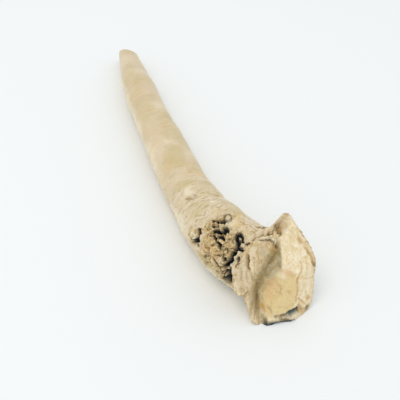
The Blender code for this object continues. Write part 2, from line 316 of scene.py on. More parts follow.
even = np.linspace(0.0, 2 * np.pi, ROUND, endpoint=False)
turns = even - CLOSER * (np.sin(even - CLOSEST_TURN) + np.sin(CLOSEST_TURN))
along_axis = np.concatenate(
    (
        np.linspace(TAIL_START, BODY_END, BODY_ROWS, endpoint=False),
        np.linspace(BODY_END, ROT_START, SHOULDER_ROWS, endpoint=False),
        np.linspace(ROT_START, LENGTH, NECK_ROWS),
    )
)
centre = through(RUN, CENTRES, along_axis)
heading = np.gradient(centre, along_axis, axis=0)
heading[:, 2] = 0.0
heading /= np.linalg.norm(heading, axis=1, keepdims=True)
turning = ease((along_axis - LENGTH + TURN_REACH) / TURN_REACH)[:, None]
heading += turning * (CROWN_HEADING - heading)
heading /= np.linalg.norm(heading, axis=1, keepdims=True)
UP = np.array((0.0, 0.0, 1.0))


def across(forward):
    """Unit rays square to a heading, one for each turn: cos(turn) up plus sin(turn) to the side."""
    side = np.cross(UP, forward)
    return np.cos(turns)[:, None] * UP + np.sin(turns)[:, None] * side[..., None, :]


def fan(centre_point, forward, start, sign, tilts):
    """Rays over one end, from square to the root to nearly straight out, and how far along them the
    skin is: half way towards the wanted distance each time, until it no longer moves."""
    tilt, turn = np.meshgrid(np.radians(tilts), turns, indexing="ij")
    reach = np.full_like(tilt, FAN_GUESS)
    for _ in range(FAN_STEPS):
        wanted = plain_skin(start + sign * reach * np.cos(tilt), turn) / np.sin(tilt)
        reach = np.minimum(0.5 * (reach + wanted), FAN_LIMITS[sign])
    ray = np.sin(tilt)[..., None] * across(forward) + sign * np.cos(tilt)[..., None] * forward
    return reach, ray, start + sign * reach * np.cos(tilt)


crown_reach, crown_ray, crown_along = fan(centre[-1], heading[-1], LENGTH, 1.0, CROWN_FAN)
tail_reach, tail_ray, tail_along = fan(centre[0], heading[0], TAIL_START, -1.0, TAIL_FAN)
body_along, body_turn = np.meshgrid(along_axis, turns, indexing="ij")
body_ray = across(heading)

along = np.concatenate((tail_along[::-1], body_along, crown_along))
turn = np.broadcast_to(turns, along.shape)
ray = np.concatenate((tail_ray[::-1], body_ray, crown_ray))
source = np.concatenate(
    (
        np.broadcast_to(centre[0], tail_ray.shape),
        np.broadcast_to(centre[:, None], body_ray.shape),
        np.broadcast_to(centre[-1], crown_ray.shape),
    )
)
skin = np.concatenate((tail_reach[::-1], plain_skin(body_along, body_turn), crown_reach))


def scattered(cell, seed):
    """A fixed random number from 0 to 1 for each whole-numbered place: its numbers are multiplied by
    large odd ones, added, and their bits stirred."""
    n = cell[..., 0] * 374761393 + cell[..., 1] * 668265263 + cell[..., 2] * 1442695041 + seed * 974634777
    n &= 0xFFFFFFFF
    n = ((n ^ (n >> 13)) * 1274126177) & 0xFFFFFFFF
    return ((n ^ (n >> 16)) & 0xFFFF) / 65535.0


# Turns the boxes of a noise askew, so that no pattern lines up with the root.
ASKEW = np.array(((0.36, 0.48, -0.80), (-0.80, 0.60, 0.0), (0.48, 0.64, 0.60)))


def cloud(place, size, seed):
    """Smooth noise from -1 to 1: random numbers at the corners of boxes of that size, blended."""
    p = (place / np.asarray(size)) @ ASKEW
    cell = np.floor(p).astype(np.int64)
    t = ease(p - cell)
    total = np.zeros(p.shape[:-1])
    for corner in np.ndindex(2, 2, 2):
        share = np.prod(np.where(corner, t, 1.0 - t), axis=-1)
        total += share * scattered(cell + corner, seed)
    return 2.0 * total - 1.0


def shaken(place, size, amount, seed):
    """The places, each moved by smooth noise of a size by up to an amount in every direction."""
    return place + amount * np.stack([cloud(place, size, seed + k) for k in range(3)], axis=-1)


def relief(rows):
    """Heights in millimetres, added up: each row is how high, the places that its noise is read from,
    the size of the noise in millimetres and its seed."""
    return sum(height * cloud(where, size, seed) for height, where, size, seed in rows)


# The skin is smooth on the body and rough on the neck, most of all on its left and at the collar below
# the crown: where each starts along the root, and over what length or angle it comes in.
NECK_START, NECK_REACH = 152.0, 70.0
COLLAR_START, COLLAR_REACH = 246.0, 14.0
CROWN_START, CROWN_REACH = -4.0, 8.0
LEFT_ANGLE, LEFT_REACH = -100.0, 50.0
RIGHT_ANGLE, RIGHT_REACH = 50.0, 60.0
neck = ease((along - NECK_START) / NECK_REACH)
collar = ease((along - COLLAR_START) / COLLAR_REACH)
crown_skin = ease((along - LENGTH - CROWN_START) / CROWN_REACH)
left_neck = neck * ease(1.0 - np.abs(turned(turn, LEFT_ANGLE)) / LEFT_REACH)

# Fine relief of the skin, worked out on the root pulled straight: along it, and round it.
radius = through(RADIUS_KNOTS, RADII, along)
straight = np.stack((along, radius * np.cos(turn), radius * np.sin(turn)), axis=-1)
wavy = shaken(straight, 9.0, 2.5, 11)
fine = relief(
    (
        (0.03 + 0.12 * neck + 0.20 * collar, wavy, (1.5, 6.0, 6.0), 31),
        (0.04 + 0.12 * neck, wavy, (3.1, 12.0, 12.0), 32),
        (0.03 + 0.30 * left_neck, wavy, (18.0, 1.9, 1.9), 33),
        (0.25, straight, 12.0, 34),
        (0.02 + 0.24 * neck, wavy, 2.4, 35),
        (0.16 * neck, straight, 1.1, 36),
        (0.9 * crown_skin, wavy, 5.0, 37),
        (0.5 * crown_skin, wavy, 2.2, 38),
        (0.3 * crown_skin, wavy, 1.1, 39),
    )
)

# Cracks of the neck's skin: thin lines where a noise passes through zero, broken up by a second noise.
# Each row is the size of the noise, how wide the lines are as a share of it, and its seed.
CRACKS = (
    ((2.4, 13.0, 13.0), 0.10, 91),
    ((4.0, 14.0, 14.0), 0.06, 94),
    ((1.5, 7.0, 7.0), 0.14, 97),
)
CRACK_DEPTH = 0.28
CRACK_LENGTH = 4.0
cracks = np.zeros(along.shape)
for size, thin, seed in CRACKS:
    line = ease(1.0 - np.abs(cloud(wavy, size, seed)) / thin)
    cracks = np.maximum(cracks, line * ease(0.25 + 1.6 * cloud(straight, CRACK_LENGTH, seed + 1)))
cracks *= neck * (1.0 - 0.5 * ease(1.0 - np.abs(turned(turn, RIGHT_ANGLE)) / RIGHT_REACH))
fine -= CRACK_DEPTH * cracks


def spotted(spots, along, turn, wider, sudden):
    """How strongly any of the spots shows at each place. A spot is how far along, angle, reach along
    and round, and strength. It is wider by a share of its reach, and fades more or less suddenly."""
    total = np.zeros(along.shape)
    for place, angle, long_reach, round_reach, strength in spots:
        away = spot(along, turn, place, angle, long_reach, round_reach)
        total = np.maximum(total, strength * ease(sudden * (1.0 + wider - away)))
    return total


# Rot: one patch, traces of it on two sides, and an orange stain in it, all as spots. It is billows,
# which are lumps with sharp creases between them that carry painted shade: height, size and seed.
ROT_PATCH = ((250.5, -40.0, 16.0, 46.0, 1.0),)
ROT_PATCH_SUDDEN = 2.2
ROT_TRACES = (
    (231.5, -76.0, 8.0, 26.0, 0.8),
    (263.0, -92.0, 9.0, 30.0, 0.7),
    (254.0, -85.0, 16.0, 24.0, 0.7),
)
ROT_TRACES_SUDDEN = 1.6
ORANGE_SPOTS = ((248.5, -66.0, 10.0, 17.0, 0.6),)
BILLOWS = ((1.5, 3.2, 44), (1.2, 1.8, 45), (0.7, 1.05, 46))
BILLOW_MIDDLE = 1.1
ROT_HEIGHT = 1.1
CREASE_TOP, CREASE_REACH = 0.85, 0.55
rot_edge = relief(((0.34, wavy, 6.0, 21), (0.22, straight, 2.4, 22)))
rot = spotted(ROT_PATCH, along, turn, rot_edge, ROT_PATCH_SUDDEN)
rot = np.maximum(rot, spotted(ROT_TRACES, along, turn, rot_edge, ROT_TRACES_SUDDEN))
orange = spotted(ORANGE_SPOTS, along, turn, 0.0, ROT_TRACES_SUDDEN)
crumbled = shaken(straight, 2.6, 1.3, 41)
billow = sum(height * np.abs(cloud(crumbled, size, seed)) for height, size, seed in BILLOWS)
fine += rot * ROT_HEIGHT * (billow - BILLOW_MIDDLE)
# Painted shade in the creases between the billows.
crease_shade = rot * ease((CREASE_TOP - billow) / CREASE_REACH)

fine -= spotted(SUNK_SPOTS, along, turn, 0.0, SPOT_SUDDEN)
for place, angle, reach, height in WARTS:
    track = ((place, angle), (place + 0.1, angle))
    fine += height * ease(1.0 - from_track(along, turn, track) / reach)

# Holes are black from this depth on and dark brown where they are shallow: dark soil, with painted
# shade that deepens with depth. Holes and creases have ragged edges: their tracks are read from
# places that noise has moved.
BLACK_DEPTH = 3.2
HOLE_STEEP = 2.2
HOLE_EDGE, HOLE_EDGE_REACH = 0.25, 0.55
LEAST_WIDTH = 0.3
ragged = shaken(straight, 2.4, 0.9, 51) - straight
ragged += shaken(straight, 1.1, 0.5, 55) - straight
ragged_along = along + ragged[..., 0]
ragged_turn = turn + ragged[..., 1] / radius
swollen = 1.0 + 0.45 * cloud(straight, 2.0, 58)
hole = np.zeros(along.shape)
deepest = np.zeros(along.shape)
for width, depth, places in HOLES:
    across_it = from_track(ragged_along, ragged_turn, places) / (width * swollen + LEAST_WIDTH)
    share = ease(HOLE_STEEP * (1.0 - across_it))
    deepest = np.maximum(deepest, depth * share)
    hole = np.maximum(hole, share * min(1.0, depth / BLACK_DEPTH))
    crease_shade = np.maximum(crease_shade, 0.9 * ease((share - HOLE_EDGE) / HOLE_EDGE_REACH))
skin_crease = np.zeros(along.shape)
for width, depth, places in SKIN_CREASES:
    share = ease(1.0 - from_track(ragged_along, ragged_turn, places) / (width * swollen))
    skin_crease = np.maximum(skin_crease, depth * share)
fine -= np.maximum(deepest, skin_crease)
skin = skin + fine


# Knife faces. Each ray is cut short where it would pass through a face.
def to_plane(face):
    """How far along each ray a face lies: its distance square to itself over how steeply the ray
    meets it, or very far where the ray never passes through it."""
    point, looks = np.array(face[0]), np.array(face[1])
    steep = ray @ looks
    away = ((point - source) @ looks) / np.maximum(steep, LEAST_STEEP)
    return np.where(steep > LEAST_STEEP, np.minimum(away, FARTHEST), FARTHEST)


def smaller(a, b, width):
    """The smaller of two distances, with the corner between them rounded over a width."""
    h = np.clip(0.5 + 0.5 * (b - a) / width, 0.0, 1.0)
    return b + h * (a - b) - width * h * (1.0 - h)


FACE_ROUNDING = 1.6
SPLIT_ROUNDING = 0.5
SPLIT_BLUR = 0.6
split_side = np.maximum(*map(to_plane, SPLIT_SIDES))
split_wall = np.minimum(*map(to_plane, SPLIT_WALLS))
to_split = -smaller(-split_wall, -split_side, SPLIT_FILLET)
to_front = smaller(to_plane(CORE_CUT), to_plane(HIGH_CUT), FACE_ROUNDING)
to_front = smaller(to_front, to_plane(SIDE_CUT), FACE_ROUNDING)
cut = np.minimum(smaller(to_front, to_split, SPLIT_ROUNDING), to_plane(TAIL_CUT))
on_cut = source + cut[..., None] * ray
in_split = ease(0.5 + (to_front - to_split) / SPLIT_BLUR)


def from_path(points, path):
    """Distance from a line through points, in millimetres, in space or in a flat view."""
    nearest = np.full(points.shape[:-1], np.inf)
    for start, end in zip(np.array(path), np.array(path[1:])):
        step = end - start
        t = np.clip(((points - start) @ step) / (step @ step), 0.0, 1.0)
        nearest = np.minimum(nearest, np.linalg.norm(points - start - t[..., None] * step, axis=-1))
    return nearest


def within(points, outline, blur):
    """1 inside an outline drawn on the front view (x, z) and 0 outside it, over a blur: the distance
    from the outline, with its sign from how often a level line to the right crosses the outline."""
    flat = points[..., (0, 2)]
    crossed = np.zeros(flat.shape[:-1], bool)
    for (x0, z0), (x1, z1) in zip(outline, (*outline[1:], outline[0])):
        spans = (z0 > flat[..., 1]) != (z1 > flat[..., 1])
        level = x0 + (flat[..., 1] - z0) * (x1 - x0) / (z1 - z0 if z1 != z0 else 1.0)
        crossed ^= spans & (flat[..., 0] < level)
    away = from_path(flat, (*outline, outline[0]))
    return ease(0.5 + np.where(crossed, away, -away) / blur)


# What shows on the front of the crown, drawn on the front view as x and z.
HEART = (
    (7.9, 28.6), (12.1, 27.8), (15.2, 25.9), (16.7, 23.2), (13.7, 14.6), (11.5, 8.4), (5.9, 6.0),
    (0.1, 4.0), (-4.8, 4.4), (-6.2, 7.0), (-5.4, 10.2), (-3.4, 15.4), (-1.0, 18.8), (2.5, 24.0),
)
WALL = (
    (11.0, 44.0), (17.0, 42.0), (16.0, 33.0), (11.0, 28.0), (2.5, 23.0), (-0.6, 18.8), (-3.0, 15.4),
    (-5.2, 10.2), (-6.2, 3.0), (-9.4, 3.0), (-9.7, 12.3), (-8.0, 18.5), (-4.7, 22.1), (-1.1, 27.0),
    (2.4, 33.0), (6.4, 37.6),
)
GREY = (
    (-8.7, 40.8), (-8.7, 34.7), (-9.2, 30.0), (-9.1, 23.9), (-12.3, 17.6), (-15.8, 18.3), (-18.8, 24.8),
    (-17.8, 30.4), (-13.9, 36.3),
)
HOLLOW = ((5.2, 4.0), (7.2, 5.6), (10.4, 6.9), (13.4, 7.5), (14.8, 6.2), (14.0, 4.6), (9.0, 3.7))
HOLLOW_DEPTH = 1.8
# How soft the edge of each is.
HEART_BLUR, WALL_BLUR, GREY_BLUR, HOLLOW_BLUR = 1.6, 3.0, 2.5, 0.9
# Colours of marks and spots. The olive and grey marks show only inside the split.
TINTS = {
    "buff": "#C3B07C",
    # olive: the split's weathered tissue, with painted shade in its valley and down the lobe.
    "olive": "#8E7A4A",
    "brown": "#7E632E",
    "grey": "#ADA07A",
    "rust": "#BF9350",
    "pink": "#DDB184",
    "pale": "#F3E9CC",
    "dark": "#46330F",
    # Painted shadow: the band under the crown's front and the depths of the hollow.
    "painted_shadow": "#142E2F",
}
IN_SPLIT_ONLY = ("olive", "grey")
# Marks on the crown's front, drawn on the front view: colour, width, strength, how deep, and a path.
STROKES = (
    # Painted shade down the lobe's side towards the valley.
    ("olive", 6.0, 0.32, 0.0, ((1.9, 37.8), (1.5, 33.4), (-0.9, 26.6), (-4.0, 22.0))),
    # The valley's olive: its weathered tissue, darkened with painted shade.
    ("olive", 6.5, 0.60, 0.0, ((0.0, 25.0), (-5.0, 20.4), (-8.0, 16.1), (-9.0, 10.0))),
    ("olive", 3.4, 0.60, 0.0, ((-1.4, 23.7), (-5.0, 20.4), (-7.0, 16.1), (-8.0, 10.0), (-9.5, 6.5))),
    ("olive", 2.4, 0.75, 0.0, ((10.6, 40.4), (10.0, 38.0), (8.3, 36.1), (5.6, 31.7))),
    ("brown", 1.0, 0.65, 0.4, ((9.6, 37.9), (8.3, 36.1), (4.4, 30.6), (1.8, 27.2))),
    ("brown", 1.6, 0.60, 0.7, ((-5.4, 19.0), (-6.6, 14.4), (-7.6, 10.7), (-9.1, 8.2), (-10.5, 5.6))),
    ("dark", 0.9, 0.55, 0.3, ((-6.6, 14.8), (-7.2, 12.6), (-8.1, 10.3))),
    ("grey", 3.0, 0.45, 0.0, ((10.9, 34.8), (8.5, 32.3), (5.8, 29.4), (2.9, 25.8))),
    ("pale", 0.8, 0.16, -0.2, ((10.4, 35.8), (7.1, 32.3), (5.5, 30.7), (2.6, 27.6))),
    ("pale", 1.0, 0.18, -0.3, ((10.6, 31.6), (7.0, 28.8), (3.8, 25.8), (0.4, 21.9))),
    ("olive", 2.5, 0.55, 0.0, ((0.6, 21.1), (-2.2, 17.7))),
    ("rust", 1.6, 0.65, 0.0, ((0.2, 32.9), (0.0, 32.4))),
    ("rust", 1.8, 0.75, 0.2, ((-8.0, 40.6), (-8.5, 37.5), (-9.2, 34.7), (-9.6, 32.2), (-9.2, 29.6))),
    # Painted shadow down the slit beside the lobe's rim.
    ("dark", 0.8, 0.95, 1.8, ((-8.4, 38.8), (-8.9, 36.2), (-9.3, 34.2), (-9.6, 32.2), (-9.3, 30.2))),
    # Painted shade under the fold below the slit.
    ("olive", 1.6, 0.45, 0.5, ((-8.2, 29.4), (-8.0, 24.7), (-7.8, 21.5))),
    ("brown", 0.8, 0.35, 0.3, ((-11.0, 30.0), (-11.6, 26.0), (-10.6, 21.0))),
    ("brown", 0.8, 0.30, 0.3, ((-14.4, 29.0), (-14.6, 24.0), (-12.8, 19.0))),
    ("brown", 0.8, 0.35, 0.3, ((-4.8, 36.0), (-5.4, 30.0), (-5.6, 26.0))),
    ("rust", 1.0, 0.45, 0.3, ((-2.0, 39.0), (-1.2, 35.0), (-1.6, 31.0))),
    ("brown", 0.7, 0.45, 0.4, ((-12.8, 34.0), (-13.6, 30.0), (-16.0, 26.0))),
    ("pale", 1.6, 0.35, -0.5, ((-11.8, 35.0), (-12.2, 31.0))),
    ("rust", 1.2, 0.40, 0.0, ((1.0, 41.8), (-4.0, 42.4))),
    ("brown", 0.7, 0.40, 0.3, ((-16.6, 21.0), (-16.4, 17.0), (-14.8, 13.4))),
    # Painted shadow under the lip of the fold, and below it a rust band of painted shade.
    ("dark", 0.7, 0.95, 0.4, ((1.0, 44.2), (4.1, 43.6), (7.2, 42.6), (9.0, 41.8), (10.8, 40.6))),
    ("rust", 1.8, 0.45, 0.1, ((2.6, 43.0), (6.5, 41.6), (9.6, 40.0))),
    ("rust", 2.0, 0.55, 0.0, ((7.8, 38.8), (5.3, 40.3))),
    ("pale", 1.4, 0.30, -0.2, ((-1.8, 45.6), (2.6, 45.4), (6.3, 44.4), (9.4, 42.6))),
    ("rust", 2.2, 0.60, 0.3, ((23.2, 42.2), (24.2, 41.4))),
    ("rust", 1.5, 0.50, 0.2, ((26.1, 39.6), (27.1, 35.2), (28.4, 32.0), (29.3, 28.4))),
    ("brown", 0.8, 0.40, 0.2, ((26.6, 37.4), (27.6, 34.0), (28.9, 31.0))),
    ("brown", 1.4, 0.75, 0.2, ((28.9, 30.0), (29.4, 27.4))),
    ("brown", 1.0, 0.60, 0.0, ((29.2, 24.2), (29.3, 22.6))),
    ("rust", 1.1, 0.75, 0.3, ((18.6, 25.6), (16.7, 24.0), (15.4, 20.7), (14.6, 15.0), (13.2, 11.6))),
    ("rust", 1.1, 0.40, 0.2, ((20.6, 31.6), (20.8, 28.8), (19.6, 26.0))),
    ("rust", 1.0, 0.28, 0.2, ((18.2, 25.0), (23.0, 21.8), (28.0, 19.6))),
    ("rust", 1.0, 0.25, 0.2, ((24.5, 33.0), (24.0, 27.0), (24.6, 22.0))),
    ("rust", 2.0, 0.65, 0.3, ((22.4, 9.6), (23.0, 8.4))),
    ("brown", 1.5, 0.85, 0.4, ((21.6, 3.9), (21.0, 2.6))),
    ("rust", 2.4, 0.65, 0.2, ((13.6, 7.2), (15.4, 4.6), (17.6, 2.1))),
    ("brown", 0.8, 0.60, 0.3, ((14.8, 8.8), (16.0, 6.8), (16.6, 4.6), (19.0, 3.4))),
    ("rust", 1.0, 0.60, 0.3, ((15.6, 12.0), (18.4, 8.8), (20.0, 6.4))),
    ("pink", 1.8, 0.60, 0.0, ((8.8, 29.6), (11.4, 28.4))),
    ("rust", 2.0, 0.42, 0.2, ((12.6, 27.9), (14.8, 26.0))),
    ("pink", 2.0, 0.35, 0.2, ((0.7, 21.4), (4.6, 22.5))),
    ("rust", 1.8, 0.42, 0.2, ((5.6, 21.7), (6.5, 20.7))),
    ("rust", 1.6, 0.45, 0.0, ((10.0, 18.4), (10.5, 17.6))),
    ("rust", 1.2, 0.40, 0.0, ((3.6, 18.6), (4.6, 17.2))),
    ("brown", 0.8, 0.35, 0.2, ((6.0, 20.2), (5.2, 18.0), (6.2, 16.4))),
    ("pink", 2.6, 0.30, 0.0, ((-1.6, 13.0), (0.8, 17.4), (4.0, 20.4))),
    ("rust", 1.8, 0.95, 0.2, ((-5.2, 7.8), (-5.4, 6.4))),
    ("brown", 1.2, 0.45, 0.0, ((-2.6, 8.2), (-1.8, 7.8))),
    # Painted highlight on the core.
    ("pale", 2.0, 0.45, -0.2, ((7.4, 27.3), (8.6, 26.9))),
    ("rust", 1.2, 0.22, 0.1, ((-1.0, 16.6), (2.0, 15.0), (4.0, 16.0))),
    ("rust", 1.2, 0.20, 0.1, ((3.0, 10.0), (8.0, 9.0), (10.6, 11.0))),
    ("olive", 1.2, 0.55, 0.2, ((-4.4, 10.0), (-3.4, 14.0), (-1.4, 18.0))),
    ("dark", 1.1, 0.85, 0.8, ((-0.4, 4.1), (1.4, 4.4), (3.0, 4.2), (4.9, 4.9))),
    ("brown", 1.2, 0.80, 0.3, ((2.2, 2.6), (3.4, 2.4))),
    # Painted shadow in the hollow, along its top and inside it.
    ("painted_shadow", 1.0, 1.00, 0.9, ((8.6, 6.4), (11.0, 7.1), (13.6, 7.2), (14.6, 6.0), (14.2, 5.0))),
    ("painted_shadow", 1.0, 0.90, 0.3, ((9.6, 4.8), (12.6, 6.0))),
    ("brown", 0.9, 0.90, 0.4, ((3.4, 4.2), (5.0, 5.2), (6.8, 6.0), (8.8, 7.0))),
    ("dark", 0.9, 0.90, 0.5, ((4.6, 4.4), (6.4, 5.0))),
    ("pale", 0.8, 0.30, -0.4, ((4.5, 2.8), (8.0, 3.0), (12.0, 3.4), (15.0, 4.0))),
    # Painted shadow inside the hollow.
    ("painted_shadow", 1.2, 0.55, 0.0, ((9.0, 4.6), (13.6, 5.6))),
    ("brown", 1.6, 0.75, 0.5, ((-7.0, 2.2), (-6.4, 1.6))),
    ("brown", 1.0, 0.70, 0.4, ((-12.4, 16.9), (-14.5, 15.2))),
    ("brown", 1.1, 0.75, 0.5, ((-13.4, 8.4), (-13.0, 6.5), (-12.1, 4.3))),
    ("olive", 2.0, 0.60, 0.0, ((-8.5, 1.8), (-5.3, 1.5))),
    ("pale", 1.1, 0.55, -0.5, ((-7.4, 4.8), (-6.4, 4.2))),
    ("brown", 1.0, 0.60, 0.5, ((-11.8, 11.4), (-11.2, 9.2))),
    ("brown", 0.9, 0.50, 0.5, ((-9.8, 5.6), (-10.6, 4.0), (-9.6, 2.6))),
    ("pale", 1.2, 0.40, -0.5, ((-12.6, 12.8), (-12.0, 11.6))),
    ("brown", 0.8, 0.45, 0.4, ((-15.8, 22.0), (-14.8, 18.6), (-13.0, 15.0))),
)
STROKE_SUDDEN = 1.3
LIP_WIDTH = 2.4
LIP_REACH = 3.0
LIP_DROP = 1.2
SPLIT_EDGE = 6.0
LOBE_FOOT, LOBE_FOOT_REACH = 14.0, 6.0
# The wall of the split is fibrous, and its fibres run along the first of these three directions.
WALL_FIBRES = np.array(((-0.69, 0.13, -0.71), (0.10, 0.99, 0.08), (0.71, 0.0, -0.70)))
astray = shaken(shaken(on_cut, 5.0, 0.5, 65), 1.6, 0.4, 68)
wall = in_split * within(astray, WALL, WALL_BLUR)
heart = within(astray, HEART, HEART_BLUR)
grey = in_split * within(astray, GREY, GREY_BLUR)
hollow = within(astray, HOLLOW, HOLLOW_BLUR) * (1.0 - in_split)
lobe = in_split * (1.0 - wall)
lobe_foot = in_split * ease((LOBE_FOOT - on_cut[..., 2]) / LOBE_FOOT_REACH)
split_edge = in_split * ease(1.0 - np.abs(skin - cut) / SPLIT_EDGE)

sunk = relief(
    (
        (0.25, on_cut, 9.0, 61),
        (0.14, on_cut, 3.0, 62),
        (0.08, on_cut, 1.3, 69),
        (0.40 * wall, on_cut @ WALL_FIBRES.T, (14.0, 1.5, 1.5), 63),
        (0.14 * lobe, astray, (1.3, 1.3, 11.0), 64),
        (0.16 * grey, astray, (1.2, 1.2, 5.0), 70),
        (0.10 * (1.0 - in_split) * (1.0 - heart), astray, (1.6, 1.6, 10.0), 73),
        (0.55 * lobe_foot, astray, 1.9, 74),
        (0.45 * split_edge, on_cut, 2.4, 76),
        (0.25 * split_edge, on_cut, 1.2, 79),
    )
)
sunk += LIP_DROP * in_split * ease((skin - cut - LIP_WIDTH) / LIP_REACH)
sunk += HOLLOW_DEPTH * hollow
tint = {name: np.zeros(along.shape) for name in TINTS}
front = astray[..., (0, 2)]
for name, width, strength, depth, path in STROKES:
    share = ease(STROKE_SUDDEN * (1.0 - from_path(front, path) / width))
    sunk += depth * share
    shows = in_split if name in IN_SPLIT_ONLY else 1.0
    tint[name] = np.maximum(tint[name], strength * share * shows)
cut = cut - sunk

reach = np.minimum(skin, cut)
flesh = (cut < skin).astype(float)
RIM_BAND = 2.0
rim = ease(1.0 - np.abs(skin - cut) / RIM_BAND)
down = -ray[..., 2]
to_table = np.where(down > LEAST_STEEP, source[..., 2] / np.maximum(down, LEAST_STEEP), FARTHEST)
reach = np.minimum(reach, to_table)
points = source + reach[..., None] * ray

# Under the crown's front the skin stands nearly upright on the table, so the lowest points are drawn
# towards a line below the front rim: where the line runs, and how far across, back and up it is felt.
FOOT_LINE = (-112.9, -0.22)
FOOT_ACROSS = (-9.0, -6.0, 9.0, 13.0)
FOOT_BACK = (-99.0, -107.0)
FOOT_UP = (2.8, 1.6)
FOOT_PULL = 0.95
x, y, z = np.moveaxis(points, -1, 0)
pull = ease((x - FOOT_ACROSS[0]) / (FOOT_ACROSS[1] - FOOT_ACROSS[0]))
pull *= ease((FOOT_ACROSS[3] - x) / (FOOT_ACROSS[3] - FOOT_ACROSS[2]))
pull *= ease((y - FOOT_BACK[0]) / (FOOT_BACK[1] - FOOT_BACK[0]))
pull *= ease((z - FOOT_UP[0]) / (FOOT_UP[1] - FOOT_UP[0]))
ahead = np.minimum(FOOT_LINE[0] + FOOT_LINE[1] * x + 0.5 * cloud(points, 3.0, 84) - y, 0.0)
points[..., 1] = y + FOOT_PULL * pull * ahead

# Stains, on cut faces and skin alike, then dark scabs, where the skin is torn at the spur's foot and
# in the notch beside it: x, y, z, reach, strength.
STAINS = (
    (-4.5, -92.7, 23.3, 3.0, 0.45),
    (23.4, -90.2, 41.2, 1.5, 0.6),
    (26.6, -96.3, 34.3, 1.5, 0.6),
    (29.6, -100.0, 27.7, 2.0, 0.8),
    (21.1, -111.4, 2.8, 2.0, 0.8),
    (18.6, -80.5, 52.3, 2.0, 0.35),
    (15.6, -81.6, 49.6, 4.2, 0.42),
    (13.6, -79.7, 48.8, 2.2, 0.8),
    (13.2, -83.2, 47.5, 2.0, 0.8),
    (19.9, -78.6, 53.5, 1.8, 0.7),
    (8.0, -74.4, 42.7, 2.4, 0.7),
    (8.1, -81.4, 44.9, 2.2, 0.8),
    (6.0, -84.5, 41.8, 2.4, 0.4),
)
SCABS = (
    (13.9, -79.6, 49.2, 1.1, 0.9),
    (13.3, -81.6, 47.9, 1.3, 0.9),
    (13.1, -84.9, 46.6, 1.1, 0.9),
    (8.0, -74.4, 42.7, 1.3, 0.9),
    (9.6, -74.3, 41.8, 0.9, 0.9),
    (8.3, -81.4, 44.8, 1.1, 0.9),
    (9.4, -76.6, 43.4, 0.9, 0.9),
    (12.4, -79.6, 47.4, 0.9, 0.9),
    (20.3, -78.6, 53.6, 1.0, 0.9),
    (10.8, -78.0, 44.0, 0.8, 0.9),
)
# Spots on the skin, pale with dust or buff: how far along, angle, reach along and round, strength.
# The long pale ones down the left and right sides are painted light where those edges look lit.
PALE_SPOTS_AND_EDGE_LIGHT = (
    (229.0, -68.0, 4.0, 10.0, 0.9),
    (225.6, 1.0, 5.0, 10.0, 0.5),
    (203.6, -16.0, 7.0, 14.0, 0.45),
    (247.0, 4.0, 6.0, 14.0, 0.35),
    # Painted light down the lit left and right sides.
    (212.0, -92.0, 20.0, 28.0, 0.55),
    (246.0, -118.0, 20.0, 20.0, 0.45),
    (110.0, -78.0, 100.0, 34.0, 0.45),
    (236.0, 60.0, 26.0, 24.0, 0.45),
)
BUFF_SPOTS = (
    (10.0, 5.0, 9.0, 60.0, 0.40),
    (52.0, -35.0, 14.0, 45.0, 0.40),
    (66.0, 20.0, 14.0, 50.0, 0.45),
    (106.0, -25.0, 14.0, 45.0, 0.40),
    (120.0, 30.0, 16.0, 50.0, 0.45),
    (143.0, 30.0, 18.0, 50.0, 0.50),
    (165.0, -8.0, 13.0, 42.0, 0.60),
    (178.0, 35.0, 14.0, 50.0, 0.50),
    (194.0, -22.0, 10.0, 44.0, 0.55),
    (205.0, 30.0, 10.0, 44.0, 0.45),
    (226.0, -78.0, 6.0, 16.0, 0.70),
    (222.0, -30.0, 8.0, 30.0, 0.40),
    (246.0, -92.0, 12.0, 14.0, 0.55),
    (236.0, 30.0, 14.0, 30.0, 0.35),
)
# Painted shadow under the crown's front: a dark teal band on the skin just above the table.
UNDER_CROWN_SHADOW = (
    (-6.4, -111.0, 0.2),
    (-3.0, -112.0, 0.4),
    (1.0, -113.0, 0.4),
    (5.0, -113.8, 0.3),
    (10.0, -114.6, 0.0),
)
UNDER_CROWN_SHADOW_REACH = 2.6
# How far noise moves the edges of each: its size, amount and seed.
STAIN_EDGE = (1.8, 1.3, 81)
SCAB_EDGE = (1.1, 0.7, 87)
UNDER_CROWN_SHADOW_EDGE = (2.5, 0.4, 88)
SPOT_BLUR, SPOT_BLUR_SIZE = 6.0, 14.0


def dabbed(dabs, shaking, spread, sudden):
    """How strongly any dab shows at each place. Its edge is moved by noise of a size, amount and seed,
    it is spread wider than its own reach, and it fades in more or less suddenly."""
    total = np.zeros(along.shape)
    moved = shaken(points, *shaking)
    for *place, dab_reach, strength in dabs:
        away = np.linalg.norm(moved - place, axis=-1)
        total = np.maximum(total, strength * ease(sudden * (1.0 - away / (spread * dab_reach))))
    return total


stain = dabbed(STAINS, STAIN_EDGE, 1.4, 1.4)
scab = dabbed(SCABS, SCAB_EDGE, 1.3, 1.8)
# Painted shadow under the crown's front, as a band along this line.
under_crown_shadow = ease(1.8 * (1.0 - from_path(shaken(points, *UNDER_CROWN_SHADOW_EDGE), UNDER_CROWN_SHADOW) / UNDER_CROWN_SHADOW_REACH))
blurred_along = ragged_along + SPOT_BLUR * cloud(straight, SPOT_BLUR_SIZE, 89)
blurred_turn = ragged_turn + SPOT_BLUR / radius * cloud(straight, SPOT_BLUR_SIZE, 90)
pale_spots_and_edge_light, buff_spots = (
    spotted(spots, blurred_along, blurred_turn, 0.0, SPOT_SUDDEN) for spots in (PALE_SPOTS_AND_EDGE_LIGHT, BUFF_SPOTS)
)

# No point may leave the CAD box.
low, high = (corner / MM + MIDDLE for corner in cad_box)
points = np.clip(points, low, high)

# Rows with half the points round them: the tail's and the body's, as far as the shoulder.
COARSE_ROWS = len(TAIL_FAN) + BODY_ROWS


